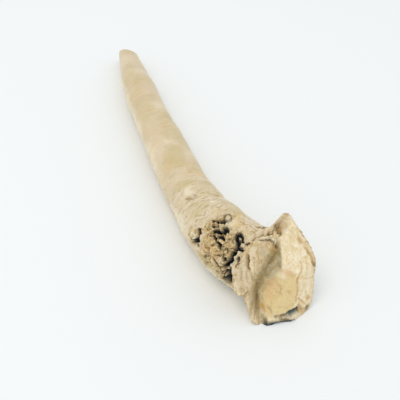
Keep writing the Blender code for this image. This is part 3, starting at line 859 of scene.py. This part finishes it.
def packed(rows):
    """Values of the grid in the order of the mesh: coarse rows, full rows, and a mean for each end."""
    shape = (-1, *rows.shape[2:])
    coarse, full = rows[:COARSE_ROWS, ::2], rows[COARSE_ROWS:]
    ends = np.stack((rows[0].mean(axis=0), rows[-1].mean(axis=0)))
    return np.concatenate((coarse.reshape(shape), full.reshape(shape), ends))


def bands(start, rings, size):
    """Four-cornered faces between each two neighbouring rings of so many points, as point numbers."""
    here = np.arange(size)
    after = (here + 1) % size
    first = start + np.arange(rings - 1)[:, None] * size
    four = (first + here, first + after, first + size + after, first + size + here)
    return np.stack(four, -1).reshape(-1, 4)


def closed_mesh(name, rows):
    """One closed mesh: a band of faces between each two rows, and a fan of triangles at each end. Where
    the rows double their points, each stretch of the lower row meets two of the upper row."""
    few, full = ROUND // 2, ROUND
    start_fine = COARSE_ROWS * few
    count = len(rows) - COARSE_ROWS
    faces = bands(0, COARSE_ROWS, few).tolist() + bands(start_fine, count, full).tolist()
    here = np.arange(few)
    after = (here + 1) % few
    last = start_fine - few
    middle, right = start_fine + 2 * here + 1, start_fine + 2 * after
    faces += np.stack((last + here, middle, start_fine + 2 * here), -1).tolist()
    faces += np.stack((last + here, last + after, right, middle), -1).tolist()
    tail_end = start_fine + count * full
    faces += np.stack((np.full(few, tail_end), after, here), -1).tolist()
    here = np.arange(full)
    after = (here + 1) % full
    last = tail_end - full
    faces += np.stack((np.full(full, tail_end + 1), last + here, last + after), -1).tolist()
    made = bpy.data.meshes.new(name)
    made.from_pydata((packed(rows) - MIDDLE) * MM, [], faces)
    made.shade_smooth()
    return made


def placed(name, mesh, material):
    """An object at the origin for a mesh, which rides on the root's one body."""
    made = bpy.data.objects.new(name, mesh)
    made.data.materials.append(material)
    bpy.context.scene.collection.objects.link(made)
    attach(made, "root")
    return made


def give(mesh, name, values):
    """Stores one number, or three, for each vertex of the root."""
    kind, field = ("FLOAT_VECTOR", "vector") if values.ndim == 3 else ("FLOAT", "value")
    stored = mesh.attributes.new(name, kind, "POINT")
    stored.data.foreach_set(field, packed(values).astype(np.float32).ravel())


def linear(code):
    """An sRGB hex colour as linear red, green, blue and a full alpha."""
    share = np.array([int(code[k : k + 2], 16) for k in (1, 3, 5)]) / 255.0
    share = np.where(share <= 0.04045, share / 12.92, ((share + 0.055) / 1.055) ** 2.4)
    return (*share, 1.0)


def add(tree, kind, sockets=None, **settings):
    """Adds a node with its settings. Sockets are its inputs by name or number: a value, or the
    output of another node that is linked to it."""
    made = tree.nodes.new(kind)
    for name, value in settings.items():
        setattr(made, name, value)
    for name, value in (sockets or {}).items():
        if isinstance(value, bpy.types.NodeSocket):
            tree.links.new(value, made.inputs[name])
        else:
            made.inputs[name].default_value = value
    return made


def new_material(name):
    """An empty node material: its tree, its Principled shader and the material."""
    made = bpy.data.materials.new(name)
    made.use_nodes = True
    return made, made.node_tree, made.node_tree.nodes["Principled BSDF"]


# Corky skin and cut flesh of a horseradish: the dry periderm is matt and buff with darker bands and
# short scars across it. Cut parenchyma is cream and slightly waxy, the woody core more yellow, and
# what has lain open is tan. Rot turns it brown and crumbly, and the holes are black with dark soil
# and painted shade.
SKIN_LIGHT = "#E2D2B7"
SKIN_MID = "#D5C19E"
SKIN_OLIVE = "#C0AC82"
SKIN_OCHRE = "#D8BA80"
SKIN_DUSTY = "#EFE2C9"
SKIN_SCAR = "#B39C6B"
SKIN_GRAIN = "#C5AD7F"
# Painted shade in the skin's furrows, creases and cracks.
FURROW_SHADE = "#8E7748"
ROT_TAN = "#E6D3A6"
ROT_BROWN = "#BC9C64"
ROT_ORANGE = "#D2AA6E"
# Dark specks of rot, and painted shade in its creases and round its holes.
ROT_DARK = "#43331C"
# Black of the holes: dark soil, with painted shade in their depths.
HOLE_SOIL_AND_SHADE = "#0E1820"
FLESH_CREAM = "#F2E0BC"
FLESH_TAN = "#E2C998"
FLESH_GRAIN = "#D2BB88"
# Painted highlights on the open cut faces.
FLESH_PAINTED_GLEAM = "#FFF8E6"
HEART_YELLOW = "#E1C98F"
HEART_DULL = "#D2AF76"
# The split's wall: olive tissue, darkened further with painted shade of the valley.
WALL_OLIVE_AND_SHADE = "#A08D64"
WALL_DARK = "#7E6B40"
LOBE_TAN = "#F4E1BC"
LOBE_BROWN = "#E0C79C"
LOBE_SHADE = "#B7986A"
LOBE_GREY = "#E0CDB0"
RIM_TAN = "#C9A868"
STAIN_BROWN = "#94703A"
# Painted shade inside the hollow at the crown's foot.
HOLLOW_SHADE_BLUE = "#52625E"

# Masks: how strongly each finish shows at each vertex, from 0 to 1. A hole is black, as dark soil
# and painted shade, from a share of its depth on.
BLACK_FROM, BLACK_REACH = 0.42, 0.18
on_skin = {
    "dark": scab,
    # Pale spots, and painted light down the skin's lit sides.
    "pale": (1.0 - flesh) * pale_spots_and_edge_light,
    "buff": (1.0 - flesh) * buff_spots,
    # Painted shadow under the crown's front.
    "painted_shadow": under_crown_shadow,
}
near_front = np.maximum(flesh, ease(1.0 - (cut - skin) / 3.0))
towards_spur = ease(1.0 - np.abs(turned(turn, 85.0)) / 90.0)
# Painted shade in the skin: darker where the relief sinks, in its creases and along its cracks.
furrow_shade = np.maximum((0.12 + 0.35 * neck) * ease(-fine / 0.8), ease(skin_crease / 0.9))
masks = {name: np.maximum(near_front * tint[name], on_skin.get(name, 0.0)) for name in TINTS}
masks |= {
    "flesh": flesh,
    "heart": 0.9 * flesh * heart,
    "wall": 0.9 * flesh * wall * (1.0 - heart),
    "lobe": flesh * lobe,
    "lobe_grey": 0.75 * flesh * grey,
    "open": flesh * (1.0 - 0.8 * in_split) * (1.0 - 0.7 * heart),
    "hollow": hollow,
    "rot": (1.0 - flesh) * rot,
    "orange": (1.0 - flesh) * orange,
    "crease_shade": (1.0 - flesh) * 0.9 * crease_shade,
    "hole": (1.0 - flesh) * ease((hole - BLACK_FROM) / BLACK_REACH),
    "rim": flesh * rim * (0.25 + 0.75 * towards_spur),
    "stain": stain,
    "furrow_shade": (1.0 - flesh) * np.maximum(furrow_shade, 0.6 * cracks),
    "neck": 0.3 + 0.7 * neck,
}

root_mesh = closed_mesh("root_skin_and_flesh", points)
give(root_mesh, "straight", straight * MM)
material, tree, shader = new_material("horseradish_periderm_and_flesh")
seen = {}
for name, values in masks.items():
    give(root_mesh, name, values)
    seen[name] = add(tree, "ShaderNodeAttribute", attribute_name=name).outputs["Fac"]
pulled = add(tree, "ShaderNodeAttribute", attribute_name="straight").outputs["Vector"]
space = add(tree, "ShaderNodeTexCoord").outputs["Object"]

# Noise patterns: coordinates, grain in millimetres, stretch, turn, detail and roughness. The skin's
# bands are 3 cm apart, and its scars and fibres are 2 mm wide. Its real grain, about 0.3 mm, is too
# fine to show, so it is drawn at 1 mm.
ALONG_WALL = (0.0, np.radians(45.0), 0.0)
UNTURNED = (0.0, 0.0, 0.0)
EVEN = (1.0, 1.0, 1.0)
PATTERNS = {
    "bands": (pulled, 33.0, (1.0, 1.1, 1.1), (0.0, 0.0, 0.5), 4.0, 0.6),
    "blotch": (pulled, 17.0, (1.0, 0.8, 0.8), (0.0, 0.0, 0.4), 3.0, 0.55),
    "ochre": (pulled, 10.5, (1.0, 0.8, 0.8), UNTURNED, 3.0, 0.55),
    "scars": (pulled, 2.4, (1.0, 0.22, 0.22), UNTURNED, 3.0, 0.55),
    "streaks": (pulled, 1.9, (0.08, 1.0, 1.0), UNTURNED, 2.0, 0.5),
    "veins": (space, 2.1, (1.0, 0.18, 0.18), UNTURNED, 3.0, 0.55),
    "fibres": (space, 1.9, (1.0, 0.4, 0.14), ALONG_WALL, 3.0, 0.55),
    "crumbs": (space, 1.6, EVEN, UNTURNED, 4.0, 0.65),
    "grain": (space, 1.1, EVEN, UNTURNED, 3.0, 0.6),
    "mottle": (space, 3.8, EVEN, UNTURNED, 4.0, 0.6),
}
noise = {}
for name, (where, size, stretch, twist, detail, rough) in PATTERNS.items():
    sockets = {"Vector": where, "Rotation": twist, "Scale": stretch}
    scaled = add(tree, "ShaderNodeMapping", sockets).outputs["Vector"]
    sockets = {"Vector": scaled, "Scale": 1.0 / (size * MM), "Detail": detail, "Roughness": rough}
    noise[name] = add(tree, "ShaderNodeTexNoise", sockets).outputs["Fac"]

# Shares of a colour: which noise or mask, from where to where it rises, and up to how much.
SHARES = {
    "mid": (noise["bands"], 0.30, 0.70, 1.0),
    "olive": (noise["blotch"], 0.42, 0.78, 0.75),
    "ochre": (noise["ochre"], 0.48, 0.68, 0.7),
    "scar": (noise["scars"], 0.50, 0.72, 0.75),
    "streak": (noise["streaks"], 0.56, 0.76, 0.10),
    "dusty": (noise["blotch"], 0.34, 0.64, 0.45),
    "speck": (noise["grain"], 0.54, 0.68, 0.7),
    "grain": (noise["grain"], 0.46, 0.68, 0.55),
    "fine_grain": (noise["crumbs"], 0.46, 0.64, 0.65),
    "half_grain": (noise["grain"], 0.47, 0.66, 0.4),
    "crumb": (noise["crumbs"], 0.40, 0.56, 0.9),
    "painted_gleam": (noise["mottle"], 0.50, 0.64, 0.4),
    "dull": (noise["mottle"], 0.50, 0.64, 0.5),
    "vein": (noise["veins"], 0.45, 0.62, 0.7),
    "fibre": (noise["fibres"], 0.42, 0.60, 0.8),
    "patchy": (noise["mottle"], 0.32, 0.54, 1.0),
    "loose": (noise["mottle"], 0.20, 0.50, 1.0),
}
share = {}
for name, (value, start, end, most) in SHARES.items():
    sockets = {"Value": value, "From Min": start, "From Max": end, "To Min": 0.0, "To Max": most}
    mapped = add(tree, "ShaderNodeMapRange", sockets, interpolation_type="SMOOTHSTEP")
    share[name] = mapped.outputs["Result"]

# Coats of colour, each laid over what is below it: where it shows, and through which noise.
COATS = (
    (SKIN_MID, share["mid"], None),
    (SKIN_OLIVE, share["olive"], None),
    (SKIN_DUSTY, seen["neck"], share["dusty"]),
    (SKIN_OCHRE, seen["neck"], share["ochre"]),
    (SKIN_SCAR, seen["neck"], share["scar"]),
    (SKIN_SCAR, share["streak"], None),
    (SKIN_GRAIN, seen["neck"], share["grain"]),
    (FURROW_SHADE, seen["furrow_shade"], None),
    (ROT_TAN, seen["rot"], None),
    (ROT_BROWN, seen["rot"], share["crumb"]),
    (ROT_ORANGE, seen["orange"], share["patchy"]),
    (ROT_DARK, seen["rot"], share["speck"]),
    (ROT_DARK, seen["crease_shade"], None),
    (FLESH_CREAM, seen["flesh"], None),
    (FLESH_TAN, seen["flesh"], share["vein"]),
    (LOBE_TAN, seen["lobe"], None),
    (LOBE_GREY, seen["lobe_grey"], None),
    (LOBE_BROWN, seen["lobe"], share["vein"]),
    (WALL_OLIVE_AND_SHADE, seen["wall"], None),
    (WALL_DARK, seen["wall"], share["fibre"]),
    (HEART_YELLOW, seen["heart"], None),
    (HEART_DULL, seen["heart"], share["dull"]),
    (FLESH_GRAIN, seen["flesh"], share["fine_grain"]),
    (FLESH_PAINTED_GLEAM, seen["open"], share["painted_gleam"]),
    (LOBE_SHADE, seen["lobe"], share["half_grain"]),
    (WALL_DARK, seen["wall"], share["half_grain"]),
    (RIM_TAN, seen["rim"], share["patchy"]),
    (STAIN_BROWN, seen["stain"], share["loose"]),
    (HOLLOW_SHADE_BLUE, seen["hollow"], None),
    *((code, seen[name], share["loose"]) for name, code in TINTS.items()),
    (HOLE_SOIL_AND_SHADE, seen["hole"], None),
)
colour = linear(SKIN_LIGHT)
for code, where, through_noise in COATS:
    if through_noise is not None:
        both = {0: where, 1: through_noise}
        where = add(tree, "ShaderNodeMath", both, operation="MULTIPLY").outputs[0]
    sockets = {0: where, 6: colour, 7: linear(code)}
    colour = add(tree, "ShaderNodeMix", sockets, data_type="RGBA").outputs[2]
tree.links.new(colour, shader.inputs["Base Color"])

# Bumps too fine for the mesh: the noise, its strength and its height in millimetres.
BUMPS = (("mottle", 0.35, 0.6), ("scars", 0.25, 0.3), ("grain", 0.3, 0.25))
SKIN_ROUGHNESS = 0.82
FLESH_ROUGHNESS = 0.52
ROOT_SPECULAR = 0.35
ROOT_SHEEN = 0.32
SHEEN_ROUGHNESS = 0.4
normal = None
for name, strength, depth in BUMPS:
    sockets = {"Height": noise[name], "Strength": strength, "Distance": depth * MM}
    if normal is not None:
        sockets["Normal"] = normal
    normal = add(tree, "ShaderNodeBump", sockets).outputs["Normal"]
tree.links.new(normal, shader.inputs["Normal"])
sockets = {"Value": seen["flesh"], "To Min": SKIN_ROUGHNESS, "To Max": FLESH_ROUGHNESS}
roughness = add(tree, "ShaderNodeMapRange", sockets).outputs["Result"]
tree.links.new(roughness, shader.inputs["Roughness"])
shader.inputs["Specular IOR Level"].default_value = ROOT_SPECULAR
shader.inputs["Sheen Weight"].default_value = ROOT_SHEEN
shader.inputs["Sheen Roughness"].default_value = SHEEN_ROUGHNESS

root_piece = placed("root_skin_and_flesh", root_mesh, material)
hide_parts("root")


# Crumbs: bits of rotten root tissue that lie in the patch. They are soft brown rot that has dried and
# broken off the patch itself, and they stick where they fell.
CRUMBS = 110
CRUMB_SIZES = (0.35, 0.8)
CRUMB_STRETCH = (0.4, 1.6)
CRUMB_ROUGHNESS = 0.45
CRUMB_LIGHT = "#DFCDA3"
CRUMB_DARK = "#8A6C3C"

# Crumbs and flakes are small closed lumps: two poles and four rings of eight points each.
LUMP_RINGS = np.radians((30.0, 65.0, 105.0, 145.0))
LUMP_ROUND = 8
DRY_ROUGHNESS = 0.85
DARK_FROM, DARK_TO = 0.4, 1.4


def bits_mesh(name, places, bit_faces, shades):
    """One mesh of many closed bits with the same faces, given as places by bit, point and x, y, z.
    Each bit has one shade from 0 to 1."""
    steps = (np.arange(len(places)) * places.shape[1])[:, None, None]
    faces = []
    for part in bit_faces:
        faces += (part + steps).reshape(-1, part.shape[1]).tolist()
    made = bpy.data.meshes.new(name)
    made.from_pydata((np.clip(places, low, high).reshape(-1, 3) - MIDDLE) * MM, [], faces)
    made.shade_smooth()
    shade = made.attributes.new("shade", "FLOAT", "POINT")
    shade.data.foreach_set("value", np.repeat(shades, places.shape[1]).astype(np.float32))
    return made


def lump_directions():
    """The lump's points as unit vectors: a pole, rings of (cos turn, sin turn, height), a pole."""
    down, round_it = np.meshgrid(LUMP_RINGS, np.arange(LUMP_ROUND) * 2 * np.pi / LUMP_ROUND, indexing="ij")
    rings = np.stack((np.sin(down) * np.cos(round_it), np.sin(down) * np.sin(round_it), np.cos(down)), -1)
    return np.concatenate(((UP,), rings.reshape(-1, 3), (-UP,)))


def lump_mesh(name, centres, axes, sizes, roughness, shades):
    """One mesh of many lumps: each point is its centre plus its direction times the lump's three sizes,
    along the lump's three axes, made uneven by noise."""
    directions = lump_directions()
    uneven = 1.0 + roughness * cloud(directions * 2.0 + centres[:, None] * 7.0, 1.0, 101)
    own = directions * sizes[:, None] * uneven[..., None]
    here = np.arange(LUMP_ROUND)
    after = (here + 1) % LUMP_ROUND
    last = len(directions) - 1
    last_ring = last - LUMP_ROUND
    # The rings run the other way round than the root's, so their faces are turned over.
    sides = np.roll(bands(1, len(LUMP_RINGS), LUMP_ROUND)[:, ::-1], 1, axis=1)
    top = np.stack((np.zeros(LUMP_ROUND, int), 1 + here, 1 + after), -1)
    bottom = np.stack((np.full(LUMP_ROUND, last), last_ring + after, last_ring + here), -1)
    return bits_mesh(name, centres[:, None] + own @ axes, (sides, top, bottom), shades)


def facing(rows, columns):
    """Three axes at grid places, from the points two before and two after: towards the crown, round
    the root, and out of the skin."""
    forth = points[rows + 2, columns] - points[rows - 2, columns]
    round_it = points[rows, (columns + 2) % ROUND] - points[rows, columns - 2]
    forth /= np.linalg.norm(forth, axis=-1, keepdims=True)
    out = np.cross(round_it, forth)
    out /= np.linalg.norm(out, axis=-1, keepdims=True)
    out *= np.sign(np.sum(out * ray[rows, columns], axis=-1, keepdims=True))
    return np.stack((forth, np.cross(out, forth), out), axis=1)


def two_tone(name, light, dark, size):
    """A matt material between two colours, by each bit's shade and a noise of a size in millimetres."""
    made, tree, shader = new_material(name)
    space = add(tree, "ShaderNodeTexCoord").outputs["Object"]
    patches = add(tree, "ShaderNodeTexNoise", {"Vector": space, "Scale": 1.0 / (size * MM)}).outputs["Fac"]
    shade = add(tree, "ShaderNodeAttribute", attribute_name="shade").outputs["Fac"]
    both = add(tree, "ShaderNodeMath", {0: shade, 1: patches}, operation="ADD").outputs[0]
    sockets = {"Value": both, "From Min": DARK_FROM, "From Max": DARK_TO}
    share = add(tree, "ShaderNodeMapRange", sockets).outputs["Result"]
    sockets = {0: share, 6: linear(light), 7: linear(dark)}
    colour = add(tree, "ShaderNodeMix", sockets, data_type="RGBA").outputs[2]
    tree.links.new(colour, shader.inputs["Base Color"])
    shader.inputs["Roughness"].default_value = DRY_ROUGHNESS
    return made


rng = np.random.default_rng(SEED + 1)
likely = ((1.0 - flesh) * rot * (hole < 0.3) * (rot > 0.6))[2:-2]
chosen = rng.choice(likely.size, CRUMBS, replace=False, p=(likely / likely.sum()).ravel())
rows, columns = np.unravel_index(chosen, likely.shape)
rows += 2
crumb_axes = facing(rows, columns)
crumb_sizes = rng.uniform(*CRUMB_SIZES, (CRUMBS, 1)) * rng.uniform(*CRUMB_STRETCH, (CRUMBS, 3))
crumb_shades = rng.uniform(0, 1, CRUMBS)
centres = points[rows, columns]
crumb_mesh = lump_mesh("rot_crumbs", centres, crumb_axes, crumb_sizes, CRUMB_ROUGHNESS, crumb_shades)
placed("rot_crumbs", crumb_mesh, two_tone("dry_rotten_root_crumb", CRUMB_LIGHT, CRUMB_DARK, 1.1))


# Flakes: thin torn scales of corky skin along the rim of the cut crown. The knife tore them loose, and
# they still hang on the skin by one side.
FLAKES = 70
FLAKE_LENGTHS = (0.4, 1.0)
FLAKE_WIDTHS = (0.7, 1.8)
FLAKE_THICKNESS = 0.28
FLAKE_STRETCH = (0.7, 1.4)
FLAKE_LEANS = (-0.3, 0.5)
FLAKE_LIGHT = "#EADBBB"
FLAKE_DARK = "#BC9C66"
FLAKE_ROUGHNESS = 0.5
FLAKE_FLOOR = 6.0

first_neck = COARSE_ROWS + SHOULDER_ROWS
rim_rows = first_neck + np.argmax(flesh[first_neck:] > 0.5, axis=0)
high_enough = (points[rim_rows, np.arange(ROUND), 2] > FLAKE_FLOOR) & (flesh[-1] > 0.5)
columns = rng.choice(np.flatnonzero(high_enough), FLAKES)
rows = rim_rows[columns] - rng.integers(0, 5, FLAKES)
flake_sizes = np.column_stack(
    (
        rng.uniform(*FLAKE_LENGTHS, FLAKES),
        rng.uniform(*FLAKE_WIDTHS, FLAKES),
        FLAKE_THICKNESS * rng.uniform(*FLAKE_STRETCH, FLAKES),
    )
)
lean = rng.uniform(*FLAKE_LEANS, (FLAKES, 1))
flake_axes = facing(rows, columns)
forth, out = flake_axes[:, 0].copy(), flake_axes[:, 2].copy()
flake_axes[:, 0] = np.cos(lean) * forth + np.sin(lean) * out
flake_axes[:, 2] = np.cos(lean) * out - np.sin(lean) * forth
flake_shades = rng.uniform(0, 1, FLAKES)
centres = points[rows, columns]
flake_mesh = lump_mesh(
    "torn_skin_flakes", centres, flake_axes, flake_sizes, FLAKE_ROUGHNESS, flake_shades
)
placed("torn_skin_flakes", flake_mesh, two_tone("torn_periderm_flake", FLAKE_LIGHT, FLAKE_DARK, 1.4))


# Fibres: fine dry root fibres, torn loose by the knife, that stand up from the crown's rim and from the
# notch beside the spur. Each is a thin tapering tube that curls, and grows out of the skin.
FIBRES_ON_RIM = 40
FIBRE_LENGTHS = (1.2, 3.6)
NOTCH_PLACES = np.array(((8.0, -74.4, 42.7), (6.6, -75.5, 42.4), (10.4, -76.0, 43.6)))
NOTCH_LENGTHS = (7.0, 4.0, 5.0)
FIBRE_THICKNESS = 0.10
FIBRE_RINGS = 8
FIBRE_SIDES = 5
FIBRE_CURL = 0.5
FIBRE_LEAN = 0.45
FIBRE_SUNK = 0.2
FIBRE_TAPER = 0.75
FIBRE_ROOM = 4.5
FIBRE_LIGHT = "#DECCA4"
FIBRE_DARK = "#A98F62"

rng = np.random.default_rng(SEED + 2)
roomy = np.all((points > low + FIBRE_ROOM) & (points < high - FIBRE_ROOM), axis=-1)
columns = rng.choice(np.flatnonzero(high_enough & roomy[rim_rows, np.arange(ROUND)]), FIBRES_ON_RIM)
rows = rim_rows[columns] - 2
apart = np.linalg.norm(points[first_neck:, None] - NOTCH_PLACES[:, None], axis=-1)
nearest = apart.transpose(1, 0, 2).reshape(len(NOTCH_PLACES), -1).argmin(axis=1)
notch_rows, notch_columns = np.unravel_index(nearest, (len(points) - first_neck, ROUND))
rows = np.concatenate((rows, notch_rows + first_neck))
columns = np.concatenate((columns, notch_columns))
lengths = np.concatenate((rng.uniform(*FIBRE_LENGTHS, FIBRES_ON_RIM), NOTCH_LENGTHS))
count = len(lengths)
axes = facing(rows, columns)
lean = rng.normal(0.0, FIBRE_LEAN, (count, 2))
forward = axes[:, 2] + lean[:, :1] * axes[:, 0] + lean[:, 1:] * axes[:, 1]
curl = rng.normal(0.0, FIBRE_CURL, (count, 3))
along_it = np.linspace(0.0, 1.0, FIBRE_RINGS)[:, None]
path = lengths[:, None, None] * (along_it * forward[:, None] + along_it**2 * curl[:, None])
path += (points[rows, columns] - FIBRE_SUNK * axes[:, 2])[:, None]
angle = np.arange(FIBRE_SIDES) * 2 * np.pi / FIBRE_SIDES
circle = np.cos(angle)[:, None] * axes[:, None, 0] + np.sin(angle)[:, None] * axes[:, None, 1]
thickness = 0.5 * FIBRE_THICKNESS * (1.0 - FIBRE_TAPER * along_it)
tubes = path[:, :, None] + thickness[:, None] * circle[:, None]
tubes = tubes.reshape(count, -1, 3)
corners = np.arange(FIBRE_SIDES)
ends = np.stack((corners[::-1], FIBRE_SIDES * (FIBRE_RINGS - 1) + corners))
bit_faces = (bands(0, FIBRE_RINGS, FIBRE_SIDES), ends)
fibre_mesh = bits_mesh("torn_root_fibres", tubes, bit_faces, rng.uniform(0, 1, count))
placed("torn_root_fibres", fibre_mesh, two_tone("dry_root_fibre", FIBRE_LIGHT, FIBRE_DARK, 2.0))


# Table: a smooth, nearly white sweep under the root. It isn't part of the object.
FLOOR_WHITE = "#F1F4F5"
FLOOR_HALF = 4.0
FLOOR_ROUGHNESS = 0.9

floor_mesh = bpy.data.meshes.new("table_sweep")
corners = [(x * FLOOR_HALF, y * FLOOR_HALF, 0.0) for x, y in ((-1, -1), (1, -1), (1, 1), (-1, 1))]
floor_mesh.from_pydata(corners, [], [(0, 1, 2, 3)])
floor = bpy.data.objects.new("table_sweep", floor_mesh)
bpy.context.scene.collection.objects.link(floor)
floor_material, _, floor_shader = new_material("matt_white_card")
floor_shader.inputs["Base Color"].default_value = linear(FLOOR_WHITE)
floor_shader.inputs["Roughness"].default_value = FLOOR_ROUGHNESS
floor_shader.inputs["Specular IOR Level"].default_value = 0.0
floor_mesh.materials.append(floor_material)


# Light: a cool white room all round, and one large warm soft box above the root and to its left.
ROOM_COLOUR = "#F6FAFD"
BOX_COLOUR = "#FFEFDA"
ROOM_STRENGTH = 0.93
BOX_PLACE = (-0.35, -0.1, 1.2)
BOX_SIZE = 0.6
BOX_POWER = 3.2

world = bpy.data.worlds.new("white_room")
bpy.context.scene.world = world
world.use_nodes = True
backdrop = world.node_tree.nodes["Background"]
backdrop.inputs["Color"].default_value = linear(ROOM_COLOUR)
backdrop.inputs["Strength"].default_value = ROOM_STRENGTH
lamp = bpy.data.lights.new("soft_box", "AREA")
lamp.size = BOX_SIZE
lamp.energy = BOX_POWER
lamp.color = linear(BOX_COLOUR)[:3]
soft_box = bpy.data.objects.new("soft_box", lamp)
soft_box.location = BOX_PLACE
to_root = -np.array(BOX_PLACE)
tilt = np.arctan2(np.hypot(to_root[0], to_root[1]), -to_root[2])
soft_box.rotation_euler = (tilt, 0.0, np.arctan2(to_root[1], to_root[0]) - np.pi / 2)
bpy.context.scene.collection.objects.link(soft_box)
bpy.context.scene.view_settings.view_transform = "Standard"
